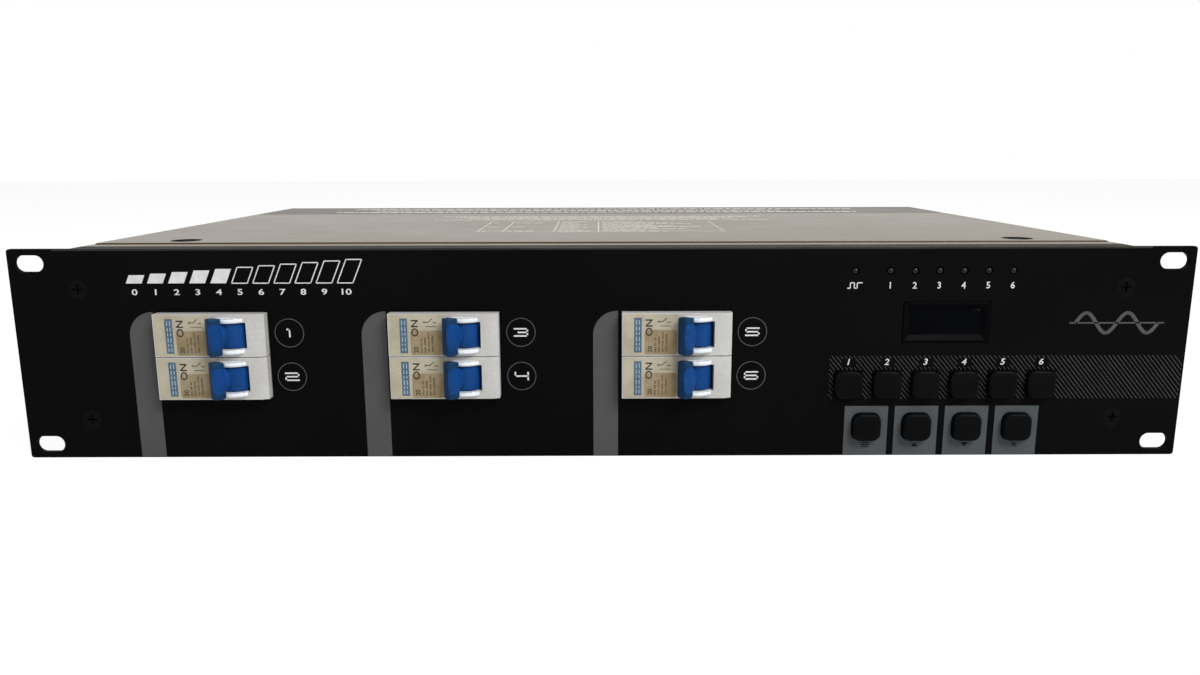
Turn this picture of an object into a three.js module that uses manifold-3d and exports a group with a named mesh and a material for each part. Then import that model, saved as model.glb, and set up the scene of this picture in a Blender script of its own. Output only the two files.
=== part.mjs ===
// Six-channel stage dimmer pack for a 19-inch rack, two height units tall.
// A flanged front panel carries six circuit breakers, status lamps, a display window and ten push buttons.
// Behind it a sheet-metal tray holds the control board, the power board, a heat sink, six chokes and a fan.
// The rear bay holds six mains outlets, the data sockets and the mains gland under a cover of its own.
// Millimetres, +Z up, +X to the right of someone facing the panel, +Y towards the rear.
import * as THREE from "three";
import { mergeVertices } from "three/addons/utils/BufferGeometryUtils.js";
import Module from "manifold-3d";

// Front panel: the widths and heights below add up to the 19-inch standard at two height units
const rackEarWidth = 21.3;
const panelThickness = 2;
const panelCornerRadius = 1.2;
const panelFlangeDepth = 26;
const panelFlangeRadius = 3;
const panelFlangeLeg = 2;
const rackSlotInsetX = 8.75;
const rackSlotInsetZ = 5.95;
const rackSlotLength = 11.8;
const rackSlotHeight = 6.8;

// Chassis
const sheetThickness = 1.2;
const fitGap = 0.3;
const foldWidth = 10;
const frontTabInset = 6;
const coverSkirtHeight = 14;
const coverSeamGap = 0.5;
const dividerGap = 8.9;
const dividerFoldDepth = 8.5;
const wiringRoom = 37.8;
const frontBeamGap = 3;
const frontBeamDepth = 17;
const frontBeamHeight = 12;
const frontBeamDrop = 1.8;

// Dished screw seats in the front corners of the top cover
const coverScrewInset = 35.5;
const dishRadius = 6.5;
const dishSlope = 2.5;
const dishDepth = 1.4;
const coverScrewHoleRadius = 1.7;

// Screws that hold the panel to the tray's front tabs
const panelScrewInsetX = 6;
const panelScrewInsetZ = 16.55;
const screwHeadRadius = 4;
const screwThreadRadius = 1.9;
const screwLength = 8;
const screwRecessLength = 4.4;
const screwRecessWidth = 0.9;
const screwRecessDepth = 1.1;

// Circuit breakers: pairs of modules one above the other, each lying on its side
const breakerSideMargin = 19.8;
const breakerPairGap = 15.3;
const breakerWidth = 17.7;
const noseLength = 45;
const noseProud = 4.5;
const noseChamfer = 2.6;
const noseChamferDepth = 1.2;
const breakerShoulderDepth = 16;
const breakerLength = 80;
const breakerHookDepth = 5;
const breakerWindowGap = 0.5;

// Breaker lever: a drum between two raised cheeks, with a wide grip on a narrow neck
const leverAxisX = 8.2;
const leverAxisDepth = 5.4;
const leverDrumSink = 1.2;
const leverNeckThickness = 5.8;
const leverGripGap = 0.5;
const leverGripDepth = 5.1;
const leverGripBlunt = 0.8;
const leverGripSlope = 4.2;
const leverGripSideGap = 1.25;
const leverGripBevel = 0.5;
const leverPinRadius = 1.4;
const leverPinReach = 1.4;
const leverRunningGap = 0.35;
const leverRestDegrees = 27;
const cheekRadius = 8;
const cheekThickness = 2.05;
const cheekSideWall = 1.4;
const leverSlotHalfLength = 7;

// Mounting rail behind the breakers, on a folded frame
const railWidth = 35;
const railLip = 4;
const railDepth = 7.5;
const railSheet = 1;
const railSeatDepth = 60;
const railHookReach = 0.8;
const railHookGap = 0.4;
const railEndMargin = 8;
const railFrameOverhang = 8;
const railFrameFootDepth = 10;

// Push buttons: caps that slide in the panel and press switches on the control board
const buttonSize = 11.6;
const buttonCornerRadius = 3.2;
const buttonProud = 3.2;
const buttonBevel = 1;
const buttonSkirtOverlap = 0.8;
const buttonSkirtThickness = 0.8;
const buttonStemRadius = 1.7;
const buttonStemGap = 0.3;
const buttonStemReach = 0.8;
const channelButtonGap = 4.4;
const menuButtonGap = 9.4;
const menuButtonMargin = 6.8;
const buttonRowGap = 6.8;

// Status lamps
const lampRadius = 1.5;
const lampHoleGap = 0.15;
const lampProud = 0.4;
const lampRimRadius = 1.9;
const lampRimY = 4.3;
const lampRimThickness = 1;
const lampLegRadius = 1.2;
const lampTopMargin = 9.8;
const signalLampInset = 11;
const channelLampInset = 25.4;
const channelLampPitch = 10;

// Display window and the module behind it
const displayInset = 31.6;
const displayGapBelow = 11.9;
const displayGapAbove = 13;
const displayWidth = 35.4;
const displayHeight = 16.6;
const displayFrameWidth = 1.6;
const displayLensDepth = 1.6;
const displayLensThickness = 1.4;
const displayRimOverlap = 1.6;
const displayRimThickness = 1;
const displayModuleInsetX = 1.7;
const displayModuleInsetZ = 1.3;
const displayModuleGap = 0.4;

// Control board behind the right of the panel, on four studs of the panel
const controlBoardGap = 21.6;
const controlBoardSideMargin = 16;
const controlBoardEndMargin = 4.5;
const controlBoardY = 9;
const channelButtonInset = 10;
const menuButtonInset = 18.5;
const boardRightMargin = 22;
const boardThickness = 1.6;
const switchSize = 9;
const switchHeight = 3.5;
const switchHoleDepth = 2.6;
const boardStudRadius = 2.4;
const boardStudInset = 5;
const boardStudLow = 13.5;
const boardStudHigh = 14.5;

// Power board on standoffs, with its switching devices, supply transformer and terminals
const powerBoardSideMargin = 12.3;
const powerBoardGap = 4;
const powerBoardDepth = 48;
const fanInletGap = 42;
const standoffHeight = 8;
const standoffRadius = 3;
const standoffInset = 8;
const deviceWidth = 16;
const deviceThickness = 4.6;
const deviceHeight = 22;
const transformerWidth = 42;
const transformerDepth = 32;
const transformerHeight = 34;
const terminalWidth = 30;
const terminalDepth = 12;
const terminalHeight = 14;

// Finned heat sink behind the power board
const heatSinkBase = 4;
const heatSinkHeight = 70;
const heatSinkDepth = 20;
const finThickness = 2;
const finCount = 8;

// Six toroidal chokes on the tray floor
const chokeOuterRadius = 23;
const chokeInnerRadius = 9;
const chokeHeight = 20;
const chokeRound = 5;
const chokeGap = 17;

// Fan on the right wall, behind slots in rings
const fanSize = 80;
const fanDepth = 25;
const fanCornerRadius = 5;
const fanHeadroom = 8.1;
const fanSetback = 10;
const fanWall = 1.8;
const fanTipGap = 0.9;
const fanMotorRadius = 15;
const fanHubLip = 1;
const fanMotorThickness = 3;
const fanStrutWidth = 4;
const fanStrutCount = 4;
const fanShaftRadius = 2.5;
const fanShaftReach = 9;
const fanBladeThickness = 1.6;
const fanBladeChord = 21;
const fanBladeCount = 7;
const fanBladeDegrees = 42;
const fanRotorInset = 2.5;
const fanRotorGap = 0.5;
const guardSlotWidth = 3.8;
const guardMargin = 2.8;
const guardRingCount = 4;
const guardSpokeWidth = 3;
const guardCoreRadius = 5;

// Ventilation slots in the left wall
const ventWidth = 3.4;
const ventHeight = 44;
const ventPitch = 8;
const ventCount = 10;

// Mains outlets in the rear panel
const outletSize = 49;
const outletCornerRadius = 4;
const outletFlange = 3;
const outletShoulder = 2.9;
const outletBodyDepth = 30;
const outletBodyWall = 2.1;
const outletRecessDepth = 17.5;
const outletPinRadius = 2.7;
const outletPinSpacing = 19;
const outletPinDepth = 8;
const outletClipWidth = 4.5;
const outletClipThickness = 1.6;
const outletClipLength = 12;
const outletGap = 2;
const outletSideMargin = 16.5;

// Data sockets, one above the other
const dataSocketGap = 3;
const dataSocketClearance = 4.5;
const dataFlangeWidth = 26;
const dataFlangeHeight = 31;
const dataFlangeCornerRadius = 3;
const dataFlangeThickness = 2.2;
const dataFlangeLip = 1.4;
const dataBodyDepth = 20;
const dataBodyWall = 2.2;
const dataCupDepth = 16;
const dataPinRadius = 1.2;
const dataPinCircleRadius = 4.6;
const dataPinLength = 11;
const dataCoreGap = 1.8;
const dataHoleRadius = 1.6;

// Mains cable gland
const glandSideMargin = 20;
const glandClearance = 29;
const glandBoreRadius = 9.5;
const glandThreadWall = 6.1;
const glandHexCorner = 2.5;
const glandHexLength = 9;
const glandCapWall = 1.9;
const glandCapLength = 15;
const glandCapRound = 4;
const glandNutLength = 6;
const glandNutGap = 0.3;

// How finely round shapes are cut
const roundSides = 20;
const smallSides = 8;
const chokeSides = 12;
const bevelSegments = 1;

// Height: the fan and the stack of controls both fit, one above the other from the panel's lower edge
const channels = [0, 1, 2, 3, 4, 5];
const menuButtonZ = menuButtonMargin + buttonSize / 2;
const channelButtonZ = menuButtonZ + buttonSize + buttonRowGap;
const displayZ = channelButtonZ + (buttonSize + displayHeight) / 2 + displayGapBelow;
const controlStack = displayZ + displayHeight / 2 + displayGapAbove + lampTopMargin;
const panelHeight = Math.max(controlStack, fanSize + fanHeadroom);
const lampZ = panelHeight - lampTopMargin;
const panelMiddleZ = panelHeight / 2;

// Width: the row of breakers and controls in front and the row of sockets behind both fit
const channelButtonPitch = buttonSize + channelButtonGap;
const menuButtonPitch = buttonSize + menuButtonGap;
const channelButtonRow = (channels.length - 1) * channelButtonPitch;
const controlBoardWidth = channelButtonInset + channelButtonRow + boardRightMargin;
const breakerPairs = channels.length / 2;
const breakerPairPitch = breakerLength + breakerPairGap;
const breakerRow = breakerPairs * breakerPairPitch - breakerPairGap;
const frontRow =
  breakerSideMargin + breakerRow + controlBoardGap + controlBoardWidth + controlBoardSideMargin;
const outletPitch = outletSize + outletGap;
const outletBodyRadius = outletSize / 2 - outletShoulder;
const outletRecessRadius = outletBodyRadius - outletBodyWall;
const outletRow = channels.length * outletPitch - outletGap;
const glandThreadRadius = glandBoreRadius + glandThreadWall;
const glandCapRadius = glandThreadRadius + glandCapWall;
const glandHexRadius = glandCapRadius + glandHexCorner;
const glandRow = glandSideMargin + 2 * glandHexRadius + glandClearance;
const rearRow =
  glandRow + dataFlangeWidth + dataSocketClearance + outletRow + outletSideMargin;
const chassisWidth = Math.max(frontRow, rearRow);
const panelWidth = chassisWidth + 2 * rackEarWidth;
const chassisLeft = -chassisWidth / 2;
const chassisRight = chassisWidth / 2;
const breakerPairX = chassisLeft + breakerSideMargin + breakerLength / 2;
const controlBoardX = chassisRight - controlBoardSideMargin - controlBoardWidth;
const channelButtonX = controlBoardX + channelButtonInset;
const menuButtonX = controlBoardX + menuButtonInset;
const signalLampX = controlBoardX + signalLampInset;
const channelLampX = controlBoardX + channelLampInset;
const displayX = controlBoardX + displayInset + displayWidth / 2;
const outletX = chassisRight - outletSideMargin - outletRow + outletSize / 2;
const glandX = chassisLeft + glandSideMargin + glandHexRadius;
const dataSocketX = chassisLeft + glandRow + dataFlangeWidth / 2;
const dataSocketLift = (dataFlangeHeight + dataSocketGap) / 2;
const dataBodyRadius = dataFlangeWidth / 2 - dataFlangeLip;
const dataCupRadius = dataBodyRadius - dataBodyWall;
const dataCoreRadius = dataCupRadius - dataCoreGap;

// Depth: breakers, rail frame, chokes, power board, heat sink and the terminal bay behind each other
const breakerModule = breakerWidth + fitGap;
const breakerShoulderY = breakerShoulderDepth - noseProud;
const leverAxisY = leverAxisDepth - noseProud;
const railFrontY = railSeatDepth - noseProud;
const breakerBackY = railFrontY + breakerHookDepth;
const railFrameBackY = railFrontY + railDepth + railFrameFootDepth;
const chokeY = railFrameBackY + chokeGap + chokeOuterRadius;
const powerBoardY = chokeY + chokeOuterRadius + powerBoardGap;
const heatSinkY = powerBoardY + powerBoardDepth + fitGap;
const dividerY = heatSinkY + heatSinkDepth + dividerGap;
const rearFaceY = dividerY + outletBodyDepth + wiringRoom;
const fanCentreY = powerBoardY + fanSetback;
const frontBeamY = panelFlangeDepth + frontBeamGap;
const coverScrewY = frontBeamY + frontBeamDepth / 2;

// Places that follow from these
const coverUnderside = panelHeight - sheetThickness;
const trayTopZ = coverUnderside - fitGap;
const trayHalfWidth = chassisWidth / 2 - sheetThickness - fitGap;
const trayInsideX = trayHalfWidth - sheetThickness;
const trayFrontY = panelThickness + fitGap;
const trayFloorFrontY = panelFlangeDepth + fitGap;
const trayRearY = rearFaceY - sheetThickness - fitGap;
const floorSeatZ = sheetThickness + fitGap;
const dishFloorRadius = dishRadius - dishSlope;
const cutOverrun = sheetThickness;
const fanCentreZ = floorSeatZ + fanSize / 2 + fitGap;
const fanBoreRadius = fanSize / 2 - fanWall;
const fanHubRadius = fanMotorRadius + fanHubLip;
const guardRingPitch = (fanBoreRadius - guardMargin - guardCoreRadius) / guardRingCount;
const powerBoardX = powerBoardSideMargin - trayInsideX;
const powerBoardRight = trayInsideX - fitGap - fanDepth - fanInletGap;
const powerBoardWidth = powerBoardRight - powerBoardX;
const powerCell = powerBoardWidth / channels.length;
const leverDrumRadius = cheekRadius - leverDrumSink;
const leverDrumWidth = breakerWidth - 2 * (cheekThickness + leverRunningGap + cheekSideWall);
const leverGripWidth = breakerWidth - 2 * leverGripSideGap;
const leverGripInner = cheekRadius + leverGripGap;
const leverGripOuter = leverGripInner + leverGripDepth;
const switchFaceY = controlBoardY - switchHeight;
const displayModuleHalfWidth = displayWidth / 2 - displayModuleInsetX;
const displayModuleHalfHeight = displayHeight / 2 - displayModuleInsetZ;

const wasm = await Module();
wasm.setup();

// Finishes
function finish(color, roughness, metalness) {
  return new THREE.MeshStandardMaterial({ color, roughness, metalness });
}
const blackPanelPaint = finish(0x0d0d0e, 0.55, 0.1);
const darkCoverPaint = finish(0x2b2926, 0.6, 0.1);
const zincSteel = finish(0xa9adb0, 0.4, 0.8);
const creamPlastic = finish(0xd8d2c2, 0.5, 0);
const blueLeverPlastic = finish(0x154a9c, 0.4, 0);
const blackButtonPlastic = finish(0x17181a, 0.5, 0);
const smokedPlastic = finish(0x08080a, 0.12, 0);
const clearLampPlastic = finish(0x9a9a92, 0.2, 0);
const greenBoard = finish(0x1e4a2c, 0.5, 0);
const darkMoulding = finish(0x1b1b1d, 0.5, 0);
const bareAluminium = finish(0xb4b7ba, 0.35, 0.9);
const copperWinding = finish(0x9c5a2c, 0.4, 0.3);
const blackScrewSteel = finish(0x101011, 0.4, 0.6);

// A closed geometry as a solid that can be cut and joined
function solidOf(geometry) {
  const bare = geometry.index ? geometry.toNonIndexed() : geometry.clone();
  bare.deleteAttribute("normal");
  bare.deleteAttribute("uv");
  const merged = mergeVertices(bare);
  return new wasm.Manifold(
    new wasm.Mesh({
      numProp: 3,
      vertProperties: merged.attributes.position.array,
      triVerts: new Uint32Array(merged.index.array),
    }),
  );
}

// A solid as a geometry that a mesh can show
function geometryOf(solid) {
  const made = solid.getMesh();
  const geometry = new THREE.BufferGeometry();
  geometry.setAttribute("position", new THREE.BufferAttribute(made.vertProperties, 3));
  geometry.setIndex(new THREE.BufferAttribute(made.triVerts, 1));
  geometry.computeVertexNormals();
  return geometry;
}

function joined(solids) {
  return solids.reduce((whole, piece) => whole.add(piece));
}

function without(solid, cuts) {
  return cuts.reduce((rest, cut) => rest.subtract(cut), solid);
}

function addPiece(group, name, geometry, material, position = [0, 0, 0]) {
  const mesh = new THREE.Mesh(geometry, material);
  mesh.name = name;
  mesh.position.set(...position);
  group.add(mesh);
  return mesh;
}

// Outlines
function polygon(points) {
  return new THREE.Shape(points.map(([a, b]) => new THREE.Vector2(a, b)));
}

function rectangle(a0, b0, a1, b1) {
  return polygon([
    [a0, b0],
    [a1, b0],
    [a1, b1],
    [a0, b1],
  ]);
}

function roundedRectangle(width, height, radius, a = 0, b = 0) {
  const right = width / 2 - radius;
  const top = height / 2 - radius;
  const quarter = Math.PI / 2;
  const shape = new THREE.Shape();
  shape.absarc(a + right, b - top, radius, -quarter, 0);
  shape.absarc(a + right, b + top, radius, 0, quarter);
  shape.absarc(a - right, b + top, radius, quarter, 2 * quarter);
  shape.absarc(a - right, b - top, radius, 2 * quarter, 3 * quarter);
  return shape;
}

function circle(radius, a = 0, b = 0) {
  return new THREE.Shape().absarc(a, b, radius, 0, 2 * Math.PI);
}

// An outline pushed along an axis, drawn as seen along that axis: in Y and Z, in X and Z, or in X and Y
const drawnIn = {
  x: [new THREE.Vector3(0, 1, 0), new THREE.Vector3(0, 0, 1), new THREE.Vector3(1, 0, 0)],
  y: [new THREE.Vector3(1, 0, 0), new THREE.Vector3(0, 0, 1), new THREE.Vector3(0, -1, 0)],
  z: [new THREE.Vector3(1, 0, 0), new THREE.Vector3(0, 1, 0), new THREE.Vector3(0, 0, 1)],
};

function prism(shape, axis, from, to, cornerSteps = 1, bevel = 0) {
  const geometry = new THREE.ExtrudeGeometry(shape, {
    depth: to - from - 2 * bevel,
    curveSegments: cornerSteps,
    bevelEnabled: bevel > 0,
    bevelThickness: bevel,
    bevelSize: bevel,
    bevelOffset: -bevel,
    bevelSegments,
  });
  geometry.applyMatrix4(new THREE.Matrix4().makeBasis(...drawnIn[axis]));
  const start = axis === "y" ? to - bevel : from + bevel;
  geometry.translate(...["x", "y", "z"].map((name) => (name === axis ? start : 0)));
  return solidOf(geometry);
}

function block([x0, x1], [y0, y1], [z0, z1]) {
  return prism(rectangle(x0, y0, x1, y1), "z", z0, z1);
}

function rod(axis, radius, from, to, a = 0, b = 0, sides = roundSides) {
  return prism(circle(radius, a, b), axis, from, to, sides / 2);
}

// A cone frustum along Y, or along Z when stood up
function frustum(radiusFrom, radiusTo, from, to, axis, [a, b], sides = roundSides) {
  const geometry = new THREE.CylinderGeometry(radiusTo, radiusFrom, to - from, sides);
  const middle = (from + to) / 2;
  if (axis === "z") {
    geometry.rotateX(Math.PI / 2);
    geometry.translate(a, b, middle);
  } else {
    geometry.translate(a, middle, b);
  }
  return solidOf(geometry);
}

// A round solid about the Y axis, from points of radius and Y that start and end on the axis
function turned(points, sides) {
  const outline = points.map(([radius, y]) => new THREE.Vector2(radius, y));
  return solidOf(new THREE.LatheGeometry(outline, sides));
}

// Four places, each at the same distance from the middle and from the nearer end
function fourPlaces(right, inset) {
  return [
    [-right, panelHeight - inset],
    [right, panelHeight - inset],
    [-right, inset],
    [right, inset],
  ];
}

const breakerColumns = Array.from(
  { length: breakerPairs },
  (_, pair) => breakerPairX + pair * breakerPairPitch,
);
const breakerPlaces = channels.map((channel) => {
  const row = channel % 2 === 0 ? 1 : -1;
  return [breakerColumns[Math.floor(channel / 2)], panelMiddleZ + (row * breakerModule) / 2];
});
const buttonPlaces = {
  ...Object.fromEntries(
    channels.map((channel) => [
      `channel_button_${channel + 1}`,
      [channelButtonX + channel * channelButtonPitch, channelButtonZ],
    ]),
  ),
  menu_button: [menuButtonX, menuButtonZ],
  up_button: [menuButtonX + menuButtonPitch, menuButtonZ],
  down_button: [menuButtonX + 2 * menuButtonPitch, menuButtonZ],
  escape_button: [menuButtonX + 3 * menuButtonPitch, menuButtonZ],
};
const lampPlaces = {
  signal_lamp: [signalLampX, lampZ],
  ...Object.fromEntries(
    channels.map((channel) => [
      `channel_lamp_${channel + 1}`,
      [channelLampX + channel * channelLampPitch, lampZ],
    ]),
  ),
};
const panelScrewPlaces = fourPlaces(chassisRight - panelScrewInsetX, panelScrewInsetZ);
const rackSlotPlaces = fourPlaces(panelWidth / 2 - rackSlotInsetX, rackSlotInsetZ);
const boardStudPlaces = [controlBoardX + boardStudInset, controlBoardX + controlBoardWidth - boardStudInset]
  .flatMap((x) => [
    [x, controlBoardEndMargin + boardStudLow],
    [x, panelHeight - controlBoardEndMargin - boardStudHigh],
  ]);

// Front panel: a flat plate with rack ears, and behind it a flange along the top and one along the bottom
function frontPanel() {
  const halfFlange = chassisWidth / 2;
  const quarter = Math.PI / 2;
  const bendY = panelThickness + panelFlangeRadius;
  const bendZ = panelHeight - panelFlangeRadius;
  const legZ = bendZ - panelFlangeLeg;
  const outline = new THREE.Shape();
  outline.moveTo(panelFlangeDepth, panelHeight);
  outline.absarc(bendY, bendZ, panelFlangeRadius, quarter, 2 * quarter);
  outline.lineTo(panelThickness / 2, bendZ);
  outline.lineTo(panelThickness / 2, legZ);
  outline.lineTo(panelThickness + sheetThickness, legZ);
  outline.absarc(bendY, bendZ, panelFlangeRadius - sheetThickness, 2 * quarter, quarter, true);
  outline.lineTo(panelFlangeDepth, panelHeight - sheetThickness);
  const upperFlange = prism(outline, "x", -halfFlange, halfFlange, 2);
  const lowerFlange = upperFlange.mirror([0, 0, 1]).translate([0, 0, panelHeight]);
  const plate = prism(
    roundedRectangle(panelWidth, panelHeight, panelCornerRadius, 0, panelMiddleZ),
    "y",
    0,
    panelThickness,
  );
  const deep = [-cutOverrun, panelThickness + cutOverrun];
  const through = (shape, steps) => prism(shape, "y", ...deep, steps);
  const rackSlots = rackSlotPlaces.map(([x, z]) =>
    through(roundedRectangle(rackSlotLength, rackSlotHeight, rackSlotHeight / 2, x, z), 2),
  );
  const windowLength = noseLength + 2 * breakerWindowGap;
  const windowHeight = breakerModule + breakerWidth + 2 * breakerWindowGap;
  const breakerWindows = breakerColumns.map((x) =>
    through(
      rectangle(
        x - windowLength / 2,
        panelMiddleZ - windowHeight / 2,
        x + windowLength / 2,
        panelMiddleZ + windowHeight / 2,
      ),
    ),
  );
  const buttonHole = buttonSize + 2 * fitGap;
  const buttonHoles = Object.values(buttonPlaces).map(([x, z]) =>
    through(roundedRectangle(buttonHole, buttonHole, buttonCornerRadius + fitGap, x, z), 1),
  );
  const lampHoles = Object.values(lampPlaces).map(([x, z]) =>
    rod("y", lampRadius + lampHoleGap, ...deep, x, z, smallSides),
  );
  const displayHole = through(
    rectangle(
      displayX - displayWidth / 2 - fitGap,
      displayZ - displayHeight / 2 - fitGap,
      displayX + displayWidth / 2 + fitGap,
      displayZ + displayHeight / 2 + fitGap,
    ),
  );
  const sinks = panelScrewPlaces.map((place) =>
    frustum(
      screwHeadRadius + fitGap + cutOverrun,
      screwThreadRadius + fitGap,
      -cutOverrun,
      screwHeadRadius - screwThreadRadius,
      "y",
      place,
      smallSides,
    ).add(rod("y", screwThreadRadius + fitGap, ...deep, ...place, smallSides)),
  );
  const studs = boardStudPlaces.map(([x, z]) =>
    rod("y", boardStudRadius, panelThickness / 2, controlBoardY - fitGap, x, z, smallSides),
  );
  return without(joined([plate, upperFlange, lowerFlange, ...studs]), [
    ...rackSlots,
    ...breakerWindows,
    ...buttonHoles,
    ...lampHoles,
    displayHole,
    ...sinks,
  ]);
}

// Countersunk cross-head screw, pointing to the rear from the panel's face
function panelScrew() {
  const head = frustum(
    screwHeadRadius,
    screwThreadRadius,
    0,
    screwHeadRadius - screwThreadRadius,
    "y",
    [0, 0],
    smallSides,
  );
  const thread = rod("y", screwThreadRadius, 0, screwLength, 0, 0, smallSides);
  const long = screwRecessLength / 2;
  const narrow = screwRecessWidth / 2;
  const deep = [-cutOverrun, screwRecessDepth];
  return without(head.add(thread), [
    block([-long, long], deep, [-narrow, narrow]),
    block([-narrow, narrow], deep, [-long, long]),
  ]);
}

// Ring-shaped slots with straight spokes between them, cut through the right wall for the fan
function fanGuardSlots() {
  const wall = [trayInsideX - cutOverrun, trayHalfWidth + cutOverrun];
  const rings = Array.from({ length: guardRingCount }, (_, ring) => {
    const inner = guardCoreRadius + ring * guardRingPitch;
    const outer = rod("x", inner + guardSlotWidth, ...wall, fanCentreY, fanCentreZ);
    return outer.subtract(rod("x", inner, ...wall, fanCentreY, fanCentreZ));
  });
  const reach = guardCoreRadius + guardRingCount * guardRingPitch;
  const half = guardSpokeWidth / 2;
  const spokes = [
    block(wall, [fanCentreY - half, fanCentreY + half], [fanCentreZ - reach, fanCentreZ + reach]),
    block(wall, [fanCentreY - reach, fanCentreY + reach], [fanCentreZ - half, fanCentreZ + half]),
  ];
  return without(joined(rings), spokes);
}

// Tray: floor, side walls, folds, the beam under the cover's front edge and the wall between the two bays
function chassisTray() {
  const floor = block(
    [-trayHalfWidth, trayHalfWidth],
    [trayFloorFrontY, trayRearY],
    [0, sheetThickness],
  );
  const foldX = trayInsideX - foldWidth;
  const foldZ = trayTopZ - sheetThickness;
  const sides = [-1, 1].flatMap((side) => {
    const across = (near, far) => [side * near, side * far].sort((a, b) => a - b);
    const wall = across(trayInsideX, trayHalfWidth);
    const fold = across(foldX, trayHalfWidth);
    const underFlange = sheetThickness + fitGap;
    const pastBend = panelThickness + panelFlangeRadius + fitGap;
    const besideTab = [frontTabInset, panelHeight - frontTabInset];
    return [
      block(wall, [trayFloorFrontY, trayRearY], [0, trayTopZ]),
      block(
        wall,
        [pastBend, trayFloorFrontY + sheetThickness],
        [underFlange, panelHeight - underFlange],
      ),
      block(wall, [trayFrontY, pastBend + sheetThickness], besideTab),
      block(fold, [trayFrontY, trayFrontY + sheetThickness], besideTab),
      block(fold, [trayFloorFrontY, trayRearY], [foldZ, trayTopZ]),
      block(fold, [trayRearY - sheetThickness, trayRearY], [0, trayTopZ]),
    ];
  });
  const width = [-trayHalfWidth, trayHalfWidth];
  const inside = [-trayInsideX - sheetThickness / 2, trayInsideX + sheetThickness / 2];
  const rearLip = block(width, [trayRearY - sheetThickness, trayRearY], [0, foldWidth]);
  const beamTop = coverUnderside - frontBeamDrop;
  const beamBackY = frontBeamY + frontBeamDepth;
  const beam = [
    block(inside, [frontBeamY, beamBackY], [beamTop - sheetThickness, beamTop]),
    block(inside, [beamBackY - sheetThickness, beamBackY], [beamTop - frontBeamHeight, beamTop]),
  ];
  const divider = [
    block(inside, [dividerY - sheetThickness / 2, dividerY + sheetThickness / 2], [0, trayTopZ]),
    block(inside, [dividerY - dividerFoldDepth, dividerY + dividerFoldDepth], [foldZ, trayTopZ]),
  ];
  const standoffs = standoffPlaces().map(([x, y]) =>
    rod("z", standoffRadius, 0, sheetThickness + standoffHeight, x, y, smallSides),
  );
  const ventFirstY = fanCentreY - ((ventCount - 1) * ventPitch) / 2;
  const vents = Array.from({ length: ventCount }, (_, vent) =>
    prism(
      roundedRectangle(
        ventWidth,
        ventHeight,
        ventWidth / 2,
        ventFirstY + vent * ventPitch,
        fanCentreZ,
      ),
      "x",
      -trayHalfWidth - cutOverrun,
      -trayInsideX + cutOverrun,
    ),
  );
  const tabHoles = panelScrewPlaces.map(([x, z]) =>
    rod(
      "y",
      screwThreadRadius + fitGap,
      trayFrontY - cutOverrun,
      trayFrontY + 2 * cutOverrun,
      x,
      z,
      smallSides,
    ),
  );
  return without(joined([floor, ...sides, rearLip, ...beam, ...divider, ...standoffs]), [
    fanGuardSlots(),
    ...vents,
    ...tabHoles,
  ]);
}

function standoffPlaces() {
  const low = powerBoardX + standoffInset;
  const high = powerBoardRight - standoffInset;
  return [low, (low + high) / 2, high].flatMap((x) => [
    [x, powerBoardY + standoffInset],
    [x, powerBoardY + powerBoardDepth - standoffInset],
  ]);
}

// A flat cover with a skirt down each side, outside the tray's walls
function coverSheet(fromY, toY) {
  const half = chassisWidth / 2;
  const along = [fromY, toY];
  return joined([
    block([-half, half], along, [coverUnderside, panelHeight]),
    block([-half, sheetThickness - half], along, [panelHeight - coverSkirtHeight, panelHeight]),
    block([half - sheetThickness, half], along, [panelHeight - coverSkirtHeight, panelHeight]),
  ]);
}

// The main cover has two dished screw seats near its front edge
function topCover() {
  const sheet = coverSheet(
    panelFlangeDepth + coverSeamGap,
    dividerY - coverSeamGap / 2,
  );
  const places = [chassisLeft + coverScrewInset, chassisRight - coverScrewInset].map((x) => [
    x,
    coverScrewY,
  ]);
  const bulges = places.map((place) =>
    frustum(
      dishFloorRadius + sheetThickness,
      dishRadius + sheetThickness,
      coverUnderside - dishDepth,
      coverUnderside + sheetThickness / 2,
      "z",
      place,
    ),
  );
  const dishes = places.map((place) =>
    frustum(dishFloorRadius, dishRadius, panelHeight - dishDepth, panelHeight, "z", place).add(
      rod(
        "z",
        coverScrewHoleRadius,
        coverUnderside - dishDepth - cutOverrun,
        panelHeight,
        ...place,
        smallSides,
      ),
    ),
  );
  return without(joined([sheet, ...bulges]), dishes);
}

// Rear panel with round holes for the outlets, the data sockets and the gland
function rearPanel() {
  const deep = [rearFaceY - sheetThickness - cutOverrun, rearFaceY + cutOverrun];
  const plate = block(
    [-trayHalfWidth, trayHalfWidth],
    [rearFaceY - sheetThickness, rearFaceY],
    [0, trayTopZ],
  );
  return without(plate, [
    ...outletPlaces().map(([x, z]) => rod("y", outletBodyRadius + fitGap, ...deep, x, z)),
    ...dataSocketPlaces().map(([x, z]) => rod("y", dataBodyRadius + fitGap, ...deep, x, z)),
    rod("y", glandThreadRadius + fitGap, ...deep, glandX, panelMiddleZ),
  ]);
}

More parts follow.
